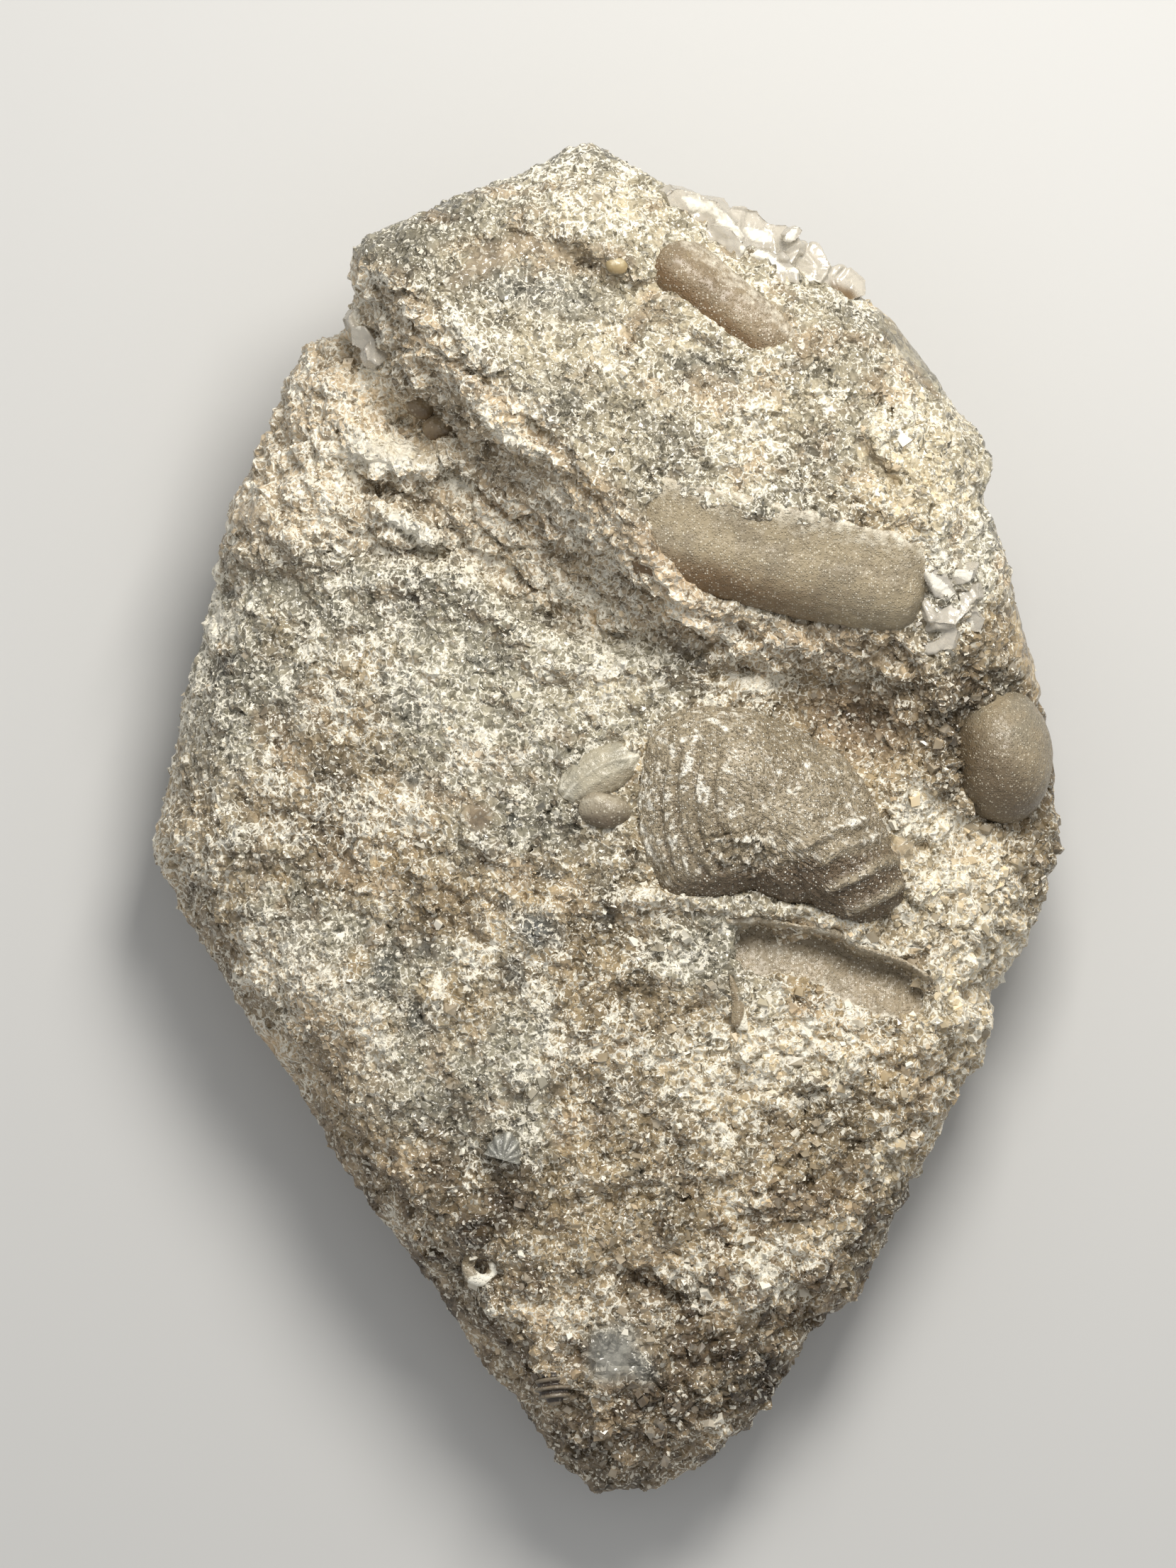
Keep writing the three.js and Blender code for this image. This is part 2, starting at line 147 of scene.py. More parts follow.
# Cells like packed crystals: the way from each point's crystal, its numbers and how far its edge is.
def crystalCells(points, size, seed):
    spots = points / size
    base = np.floor(spots)
    nearest = np.full(len(points), 9.0)
    second = np.full(len(points), 9.0)
    away = np.zeros((len(points), 3))
    numbers = np.zeros((len(points), 3))
    for step in np.ndindex(3, 3, 3):
        cell = base + np.array(step) - 1
        drawn = cellNumbers(cell, seed)
        offset = spots - cell - drawn
        distance = np.linalg.norm(offset, axis=1)
        closer = distance < nearest
        second = np.where(closer, nearest, np.minimum(second, distance))
        nearest = np.where(closer, distance, nearest)
        away[closer] = offset[closer]
        numbers[closer] = drawn[closer]
    return away * size, numbers, (second - nearest) * size


# A facet of its own tilt and height on each crystal, meeting its neighbours in a groove.
def brokenFacets(points, size, seed, tilt, lift, groove=0.3):
    away, numbers, edge = crystalCells(points, size, seed)
    slope = (away * (numbers[:, [1, 2, 0]] - 0.5)).sum(axis=1) * tilt * 2
    return (slope + numbers[:, 0] * lift) * smoothly(edge, 0, size * groove)


# Smooth noise from -1 to 1.
def softNoise(points, size, seed):
    spots = points / size
    base = np.floor(spots)
    share = spots - base
    share = share * share * (3 - 2 * share)
    total = np.zeros(len(points))
    for step in np.ndindex(2, 2, 2):
        corner = np.array(step)
        weight = np.prod(np.where(corner, share, 1 - share), axis=1)
        total += weight * cellNumbers(base + corner, seed)[:, 0]
    return 2 * total - 1


def layeredNoise(points, size, seed, layers=3, rough=0.6):
    strengths = [rough**layer for layer in range(layers)]
    total = sum(
        strength * softNoise(points, size / 2**layer, seed + layer)
        for layer, strength in enumerate(strengths)
    )
    return total / sum(strengths)


# The stone

stone = {
    "terraceHeight": 25.4,  # the upper block, at its crest
    "ledgeHeight": 16.6,  # the foot of the ledge below the scarp
    "ledgeSlope": 0.22,  # how fast the ledge climbs towards the scarp
    "faceHeight": 17.6,  # the lower face, at its highest
    "southFall": (0.03, 0.0022),  # how it falls away from there: evenly, and ever faster
    "westFall": 0.0055,
    "eastFall": 0.003,
    "terraceFalls": (0.08, 0.08),  # the upper block's slope to the east and to the north
    "southDrop": 0.5,  # and its slope south of the scarp
    "scarpWidths": [(-10, 6.2), (1, 5.6), (8, 4.2)],  # across, then from the crest to its foot
    "edgeWidth": 4.2,  # how far in from the rim the upper face starts to roll down
    "edgeDrop": 5.2,  # how far it has dropped at the rim
    "blockHeight": 30.0,  # before its top is drawn down to the relief
    "roughCell": 0.6,  # mesh size of the first, rough block
    "fineCell": 0.25,  # mesh size of the finished stone
    "mostTriangles": 196000,
    # broken crystals, coarse to fine: their size, a seed, how far each tilts and how far it stands out
    "facets": [(5.5, 1, 0.1, 0.3), (2.3, 2, 0.2, 0.26), (1.1, 3, 0.34, 0.24), (0.6, 4, 0.5, 0.2)],
    "waves": (0.12, 3.0, 5),  # soft waves over all: their height, size and seed
    "scarpChunks": (1.5, 8, 0.3, 0.6),  # more crystals on the scarp, listed as the facets are
    "coarseChunks": (1.7, 9, 0.4, 0.6),  # and in the south east, where the grain is coarser
    "highest": 25.9,  # past this the roughness is pressed down
    # the widest outline, seen from above, anticlockwise from the apex
    "outline": [
        (-1.1, 40.8), (-4.0, 39.3), (-8.5, 37.5), (-13.1, 35.4), (-15.2, 34.2), (-14.9, 31.9),
        (-15.9, 28.7), (-17.7, 29.2), (-19.3, 26.1), (-21.0, 21.8), (-22.6, 19.1), (-23.8, 14.4),
        (-25.5, 8.1), (-26.4, 2.6), (-27.4, -1.7), (-24.3, -7.4), (-21.4, -12.3), (-18.3, -16.2),
        (-14.8, -22.6), (-9.8, -28.7), (-6.5, -33.8), (-2.8, -38.2), (-0.6, -40.8), (2.1, -40.1),
        (5.1, -39.3), (9.9, -35.1), (12.0, -30.7), (15.2, -28.7), (16.0, -26.6), (19.1, -20.0),
        (23.0, -13.2), (23.3, -9.9), (26.1, -6.0), (27.4, -2.1), (26.9, 1.3), (26.6, 4.5),
        (25.7, 9.1), (23.9, 15.3), (22.4, 19.4), (23.0, 21.7), (20.1, 26.0), (16.9, 30.3),
        (13.9, 32.2), (10.4, 34.4), (6.9, 36.2), (3.3, 38.3),
    ],
    # share of the height, then share of the outline
    "flank": [(0, 0.93), (0.5, 0.985), (1, 1)],
    # the way each broken flank faces and how far it leans, in degrees, and its reach at the ground
    "flankBreaks": [
        (214, 20, 21.5), (180, 38, 22.0), (160, 30, 21.2), (122, 22, 29.6), (97, 22, 33.3),
        (55, 27, 26.2), (20, 20, 22.6), (350, 32, 20.6), (322, 30, 26.2), (285, 38, 35.2),
        (240, 22, 33.6),
    ],
    # the crest, with the upper block on its left hand
    "crestLine": [
        (-17.0, 34.9), (-12.6, 33.2), (-10.9, 31.9), (-9.2, 29.3), (-6.6, 26.8), (-3.7, 23.8),
        (1.2, 19.0), (3.9, 15.2), (5.4, 13.1), (12.0, 12.1), (18.4, 11.2), (19.0, 8.5), (18.6, 3.0),
        (18.0, 0.0),
    ],
    # broken along these streaks between the crest and the ledge: their heading and their relief
    "streakHeading": -38,
    "streakRelief": 0.65,
    # where the ledge meets the lower face
    "ledgeLine": [
        (-25.0, 15.0), (-17.3, 15.7), (-12.6, 15.3), (-8.8, 15.1), (-6.6, 13.4), (-2.4, 11.1),
        (4.4, 10.0), (12.5, 8.5), (19.0, 8.1),
    ],
    # ridges and grooves: the line, half its width on its left and right hand, and the rise
    "ridges": [
        # the crest of the scarp and the ribs below it
        ([(-9.9, 31.0), (-8.6, 29.3), (-7.6, 28.1), (-6.7, 27.2)], 0.5, 0.5, 0.8),
        ([(-14.3, 32.5), (-12.6, 32.2)], 0.4, 0.4, 0.4),
        ([(-9.6, 28.2), (-6.2, 25.9)], 0.7, 0.7, -1.0),
        ([(-11.9, 26.2), (-7.9, 26.1)], 0.6, 0.9, 0.5),
        ([(-8.0, 25.4), (-6.8, 23.4), (-5.5, 22.5), (-4.0, 22.0)], 0.5, 0.6, 1.2),
        ([(-5.3, 24.2), (-2.7, 22.1)], 0.5, 0.5, -1.1),
        ([(-6.9, 22.5), (-4.9, 20.1)], 0.5, 0.5, -0.7),
        ([(-15.1, 22.6), (-13.6, 21.6), (-11.8, 21.2), (-10.2, 21.4), (-9.5, 21.9)], 1.1, 0.4, 1.3),
        ([(-14.8, 20.6), (-11.6, 20.0), (-9.2, 20.6)], 0.5, 0.7, -0.6),
        ([(-9.3, 21.7), (-8.6, 22.0), (-7.4, 21.5)], 0.3, 0.3, 0.4),
        ([(-13.9, 18.8), (-12.2, 18.0), (-10.3, 17.1)], 0.6, 0.6, 1.1),
        ([(-14.3, 18.0), (-12.2, 16.7), (-10.6, 16.0)], 0.6, 0.6, -0.7),
        ([(-11.6, 19.0), (-10.4, 17.8)], 0.35, 0.35, -0.8),
        ([(-13.6, 24.6), (-12.2, 23.7), (-10.8, 22.6)], 0.5, 0.4, -0.9),
        ([(0.5, 18.2), (2.2, 15.6), (4.0, 13.4), (6.4, 11.9)], 0.7, 1.2, 0.35),
        ([(20.2, 7.8), (19.9, 5.5), (20.2, 3.0), (21.2, 1.0)], 0.5, 0.4, 1.7),
        ([(-3.0, 17.9), (3.4, 14.8)], 0.6, 0.5, 0.45),
        ([(-6.0, 18.4), (-1.0, 15.6)], 0.5, 0.5, -0.5),
        ([(-1.0, 14.4), (0.9, 13.4)], 0.35, 0.35, -0.9),
        # the bright rim of the lower face and the valley above it
        ([(-14.1, 14.6), (-11.6, 15.0), (-8.8, 14.8), (-7.4, 13.6), (-5.1, 11.5), (-2.5, 10.7)],
         0.5, 1.1, 0.9),
        ([(-13.8, 15.7), (-11.6, 16.1), (-8.6, 15.9), (-6.9, 14.5), (-4.6, 12.5), (-2.0, 11.8)],
         0.9, 0.6, -0.9),
        ([(-4.1, 9.4), (-1.7, 9.2), (2.9, 9.4), (5.5, 9.2), (7.1, 10.0), (9.9, 10.6), (13.0, 10.2)],
         0.5, 0.9, 0.9),
        ([(0.5, 11.0), (5.5, 10.9), (9.5, 12.0), (14.0, 11.6)], 0.9, 0.7, -0.8),
        ([(19.8, 9.5), (19.9, 6.5), (20.0, 2.5)], 0.9, 0.9, 0.8),
        ([(12.4, 7.6), (17.6, 6.9)], 0.4, 0.4, 0.5),
        ([(11.4, 5.9), (17.8, 4.6)], 0.35, 0.35, 0.45),
        # the terrace: an arched step, a plate over a crack, the sides of the upper cast
        ([(-10.4, 31.9), (-9.6, 33.4), (-8.0, 34.5), (-4.8, 35.1), (-2.6, 34.6), (-1.1, 33.9)],
         0.4, 2.8, -0.85),
        ([(-1.7, 33.6), (-0.2, 32.4), (1.0, 31.8), (3.1, 32.0)], 0.2, 0.9, -0.8),
        ([(-1.2, 34.0), (0.4, 32.9), (1.4, 32.4), (3.0, 32.5)], 0.8, 0.25, 0.35),
        ([(3.5, 31.3), (6.3, 29.2), (8.6, 27.8), (11.0, 27.7)], 0.3, 0.9, 0.6),
        ([(4.8, 35.2), (7.6, 34.1), (10.1, 31.8), (11.4, 29.9)], 0.9, 0.35, 0.45),
        ([(14.5, 22.8), (15.8, 21.6), (17.2, 20.2)], 0.3, 0.3, -1.3),
        ([(15.0, 23.2), (17.6, 20.9)], 0.4, 0.25, 0.4),
        ([(15.9, 25.1), (17.3, 24.1)], 0.25, 0.25, -0.8),
        ([(10.9, 24.6), (11.8, 23.4), (12.3, 21.9)], 0.35, 0.35, 0.4),
        ([(2.8, 21.6), (9.0, 20.9), (15.7, 18.9), (18.6, 17.6)], 0.9, 0.4, 0.3),
        ([(12.3, 20.1), (15.7, 18.4), (17.8, 17.6)], 0.2, 0.2, -0.8),
        # round the tail shield and the arched shell
        ([(-0.1, -4.3), (3.5, -4.3), (6.3, -4.5), (8.8, -4.6), (11.5, -4.9), (13.0, -5.4), (14.6, -5.8),
          (16.0, -6.6)], 0.3, 0.9, 1.0),
        ([(3.4, -3.2), (8.8, -3.4), (13.0, -4.2), (15.6, -5.0)], 0.6, 0.35, -0.9),
        ([(19.2, -8.9), (19.9, -10.2), (19.9, -12.2), (18.8, -13.2)], 0.5, 0.6, 0.6),
        # the lower face
        ([(-24.9, 3.0), (-17.3, -1.7)], 1.0, 1.0, -0.5),
        ([(-10.5, -4.7), (-10.2, -6.7)], 0.25, 0.25, 0.3),
        ([(0.1, -9.4), (0.9, -11.6)], 0.2, 0.2, -0.5),
        ([(0.0, -21.3), (2.7, -21.1)], 0.22, 0.22, 0.45),
        ([(-0.6, -22.6), (2.4, -22.2), (5.0, -22.6)], 0.6, 0.5, -0.5),
        ([(9.0, -21.0), (16.0, -24.5)], 1.5, 1.5, 0.5),
        ([(0.9, -27.4), (2.6, -27.4), (4.3, -28.6)], 0.6, 0.7, -1.3),
        ([(-1.3, -29.2), (1.8, -29.5)], 0.3, 0.5, 0.4),
        ([(15.9, -22.0), (17.9, -19.1)], 0.9, 0.9, 0.6),
    ],
    # hollows and lumps: the middle, the two radii, the turn in degrees and the rise
    "hollows": [
        ((15.2, 6.0), (3.6, 2.5), -14, -2.3),
        ((23.8, 4.0), (3.7, 4.3), 8, -3.4),
        ((-10.7, 24.1), (2.2, 1.6), -40, -2.1),
        ((-13.4, 20.1), (1.9, 0.8), -10, -0.9),
        ((21.2, 8.5), (0.6, 0.35), -15, -1.2),
        ((-13.0, 24.5), (3.0, 1.8), -35, -0.8),
        ((-15.0, -6.0), (9.0, 2.2), -25, -0.5),
        ((-21.4, 18.4), (1.1, 0.9), 0, 1.0),
        ((-19.9, 16.9), (0.9, 0.9), 0, 0.6),
        ((-10.9, 22.1), (1.1, 0.8), 10, 0.5),
        ((8.4, 9.3), (0.9, 0.5), -25, -1.1),
        ((18.2, 8.2), (0.7, 0.6), 0, -1.3),
        ((15.9, 8.9), (1.6, 0.9), 0, 0.5),
        ((19.6, 25.3), (0.35, 0.35), 0, -0.9),
        ((12.0, 25.1), (0.5, 0.8), 30, -0.6),
        ((-2.6, 4.1), (0.9, 0.6), 25, 0.5),
        ((17.8, -1.5), (0.9, 1.0), 0, 0.4),
        ((-7.7, 0.4), (0.9, 0.9), 0, 0.35),
        ((-12.7, -12.0), (0.5, 0.5), 0, -0.9),
        ((-11.8, -19.0), (0.6, 0.5), 0, -1.0),
        ((-0.2, -8.9), (0.6, 0.4), -20, 0.4),
        ((-8.9, -19.0), (1.0, 1.2), 0, -0.4),
        ((-1.2, -21.4), (1.3, 0.9), 0, 0.7),
        ((-7.5, -26.5), (1.0, 0.9), 0, -1.0),
        ((-5.6, -22.8), (1.4, 0.7), -10, -0.6),
        ((1.0, -31.9), (2.4, 1.8), -20, 0.35),
        ((9.3, -27.5), (1.7, 1.4), 0, 0.8),
        ((13.8, -27.8), (2.0, 1.6), 0, 0.6),
        ((6.7, -36.4), (0.6, 0.6), 0, 0.4),
    ],
    # smooth fossils lie in beds this deep, so no crystal of the stone comes through them
    "bedDepths": {"tailShield": 1.3, "longCast": 1.5, "upperCast": 1.3, "archedShell": 2.6},
}

# The outlines of the smooth fossils, seen from above, anticlockwise
footprints = {
    "tailShield": [
        (3.0, 5.4), (2.5, 3.0), (2.3, 0.6), (2.6, -2.1), (3.5, -3.9), (8.8, -4.1), (12.2, -4.8),
        (15.2, -5.9), (17.3, -4.6), (17.4, -3.1), (16.6, -0.9), (15.8, 1.2), (14.8, 2.8), (12.6, 4.6),
        (9.9, 6.0), (7.1, 6.6), (4.6, 6.4),
    ],
    "longCast": [
        (1.7, 19.0), (2.6, 17.0), (3.8, 15.2), (5.6, 13.4), (7.8, 12.4), (12.1, 11.6), (18.2, 11.4),
        (18.9, 12.6), (18.7, 15.4), (18.0, 16.3), (12.0, 17.8), (3.0, 19.8),
    ],
    "upperCast": [
        (3.1, 32.4), (5.1, 30.8), (6.8, 29.3), (9.6, 27.9), (10.4, 29.6), (9.4, 31.6), (7.2, 33.7),
        (5.2, 34.7), (3.5, 34.5),
    ],
    "archedShell": [
        (7.3, -5.9), (7.2, -8.4), (8.2, -9.4), (10.9, -9.4), (12.9, -9.9), (13.9, -10.8), (16.1, -11.7),
        (18.3, -12.1), (19.4, -11.6), (19.2, -9.2), (18.0, -8.4), (16.8, -7.9), (15.1, -7.4),
        (14.3, -6.8), (12.9, -6.3), (11.3, -6.1), (9.1, -5.7),
    ],
}


def fromStretch(places, a, b):
    way = b - a
    t = np.clip(((places - a) @ way) / (way @ way), 0, 1)
    return np.linalg.norm(places - a - t[:, None] * way, axis=1)


# The distance from a line, above nought on its left hand.
def beside(places, line):
    corners = np.array(line, float)
    nearest = np.full(len(places), np.inf)
    side = np.ones(len(places))
    for a, b in zip(corners[:-1], corners[1:]):
        distance = fromStretch(places, a, b)
        turn = (b[0] - a[0]) * (places[:, 1] - a[1]) - (b[1] - a[1]) * (places[:, 0] - a[0])
        closer = distance < nearest
        side[closer] = np.where(turn[closer] < 0, -1, 1)
        nearest[closer] = distance[closer]
    return nearest * side


def turned(places, middle, degrees):
    c, s = math.cos(math.radians(degrees)), math.sin(math.radians(degrees))
    away = places - np.array(middle)
    return np.stack([away[:, 0] * c + away[:, 1] * s, away[:, 1] * c - away[:, 0] * s], axis=1)


# How much each place belongs to an ellipse: 1 in its middle, falling off past its edge.
def within(places, middle, radii, degrees, sharp=2):
    away = turned(places, middle, degrees) / np.array(radii)
    return np.exp(-((away**2).sum(axis=1) ** (sharp / 2)))


# How far inside an outline each place is, below nought outside it.
def depthIn(places, outline):
    return beside(places, outline + outline[:1])


# The ridges and lumps at a place, then the grooves and hollows.
def featuresAt(places, shape=stone):
    raised, sunken = np.zeros(len(places)), np.zeros(len(places))
    for line, left, right, rise in shape["ridges"]:
        off = beside(places, line)
        change = rise * np.exp(-((off / np.where(off > 0, left, right)) ** 2))
        raised, sunken = raised + np.maximum(change, 0), sunken + np.minimum(change, 0)
    for middle, radii, degrees, rise in shape["hollows"]:
        change = rise * within(places, middle, radii, degrees)
        raised, sunken = raised + np.maximum(change, 0), sunken + np.minimum(change, 0)
    return raised, sunken


def reliefAt(places, bedded=True, shape=stone):
    x, y = places[:, 0], places[:, 1]
    south, west, east = np.maximum(8 - y, 0), np.maximum(1 - x, 0), np.maximum(x - 1, 0)
    evenly, faster = shape["southFall"]
    face = shape["faceHeight"] - faster * south**2 - evenly * south
    face -= shape["westFall"] * west**2 + shape["eastFall"] * east**2
    aboveLedge = beside(places, shape["ledgeLine"])
    ledge = shape["ledgeHeight"] + shape["ledgeSlope"] * np.clip(aboveLedge, 0, 12)
    lower = face + (ledge - face) * smoothly(aboveLedge, -1.2, 0.8)
    eastward, northward = shape["terraceFalls"]
    terrace = shape["terraceHeight"] - eastward * (x + 5) - northward * (y - 25)
    terrace -= shape["southDrop"] * np.maximum(18 - y, 0)
    upper = np.maximum(terrace, face)
    scarp = np.interp(x, *np.array(shape["scarpWidths"]).T)
    onBlock = smoothly(beside(places, shape["crestLine"]) / scarp, -1, 0)
    height = lower + (upper - lower) * onBlock
    height += sum(featuresAt(places))
    for fossil, depth in shape["bedDepths"].items() if bedded else ():
        height -= depth * smoothly(depthIn(places, footprints[fossil]), 0.15, 0.8)
    inside = np.abs(depthIn(places, shape["outline"]))
    return height - shape["edgeDrop"] * np.maximum(1 - inside / shape["edgeWidth"], 0) ** 2


# A round prism with as many corners as an outline has, ready to be drawn out to it.
def addPrism(name, outline, middle, height, thickness):
    deselectAll()
    bpy.ops.mesh.primitive_cylinder_add(
        vertices=len(outline),
        radius=mm,
        depth=thickness * mm,
        location=(*(middle * mm), height * mm),
    )
    return takeNew(name)


# The corner of the outline that each point of its prism belongs to.
def cornersOf(points, outline, middle):
    around = np.arctan2(points[:, 0] - middle[0], points[:, 1] - middle[1])
    return outline[np.round(-around / (2 * math.pi) * len(outline)).astype(int) % len(outline)]


def voxelRemesh(piece, cell):
    applyModifier(piece, "REMESH", mode="VOXEL", voxel_size=cell * mm)


def startBlock(shape=stone):
    outline = np.array(shape["outline"], float)
    middle, tall = np.zeros(2), shape["blockHeight"]
    block = addPrism("limestone", outline, middle, tall / 2, tall)
    cut(block, (0, 0, tall / 2 * mm), (0, 0, 1))
    points = pointsOf(block)
    levels = np.array(shape["flank"])
    share = np.interp(points[:, 2] / tall, levels[:, 0], levels[:, 1])
    points[:, :2] = cornersOf(points, outline, middle) * share[:, None]
    setPoints(block, points)
    voxelRemesh(block, shape["roughCell"])
    points = pointsOf(block)
    low, high = points[:, 2].min(), points[:, 2].max()
    points[:, 2] = (points[:, 2] - low) / (high - low) * reliefAt(points[:, :2])
    setPoints(block, points)
    return block


def breakFlanks(block, shape=stone):
    makeActive(block)
    bpy.ops.object.mode_set(mode="EDIT")
    for faces, leans, reach in shape["flankBreaks"]:
        facing, lean = math.radians(faces), math.radians(leans)
        outwards = Vector((math.cos(facing), math.sin(facing), 0))
        plane = outwards * math.cos(lean) + Vector((0, 0, -math.sin(lean)))
        bpy.ops.mesh.select_all(action="SELECT")
        bpy.ops.mesh.bisect(
            plane_co=outwards * reach * mm, plane_no=plane, use_fill=True, clear_outer=True
        )
    bpy.ops.object.mode_set(mode="OBJECT")
    voxelRemesh(block, shape["fineCell"])


def roughen(block, shape=stone):
    points, outwards = pointsOf(block), normalsOf(block)
    rise = sum(brokenFacets(points, *facets) for facets in shape["facets"])
    waveHeight, waveSize, waveSeed = shape["waves"]
    rise += waveHeight * softNoise(points, waveSize, waveSeed)
    chunks = brokenFacets(drawnOut(points, 2, 1), *shape["scarpChunks"])
    streaks = shape["streakRelief"] * alongScarp(points, 1.3, 7)
    rise += (streaks + chunks - 0.2) * onScarp(points[:, :2])
    coarse = smoothly(points[:, 0] - 0.5 * points[:, 1], 4, 22)
    rise += (brokenFacets(points, *shape["coarseChunks"]) - 0.2) * coarse
    rise -= 0.2
    # how low each point lies in the broken surface, from which the tints paint shade into its low places
    paint(block, low=np.clip(-rise, -1, 1))
    rise *= 1 - 0.85 * paintedAt(points, stonePatches["smoothed"])
    for outline in footprints.values():
        rise *= 1 - 0.5 * np.exp(-((depthIn(points[:, :2], outline) / 0.5) ** 2))
    rise *= 1 - 0.45 * smoothly(-depthIn(points[:, :2], shape["outline"]), -1.2, 0)
    rise *= smoothly(points[:, 2], 0.3, 1.6)
    points += outwards * rise[:, None]
    points[:, 2] = np.where(points[:, 2] < 0.2, 0, points[:, 2])
    points[:, 2] -= 0.6 * np.maximum(points[:, 2] - shape["highest"], 0)
    setPoints(block, points)
    block.data.calc_loop_triangles()
    share = shape["mostTriangles"] / len(block.data.loop_triangles)
    if share < 1:
        applyModifier(block, "DECIMATE", decimate_type="COLLAPSE", ratio=share)


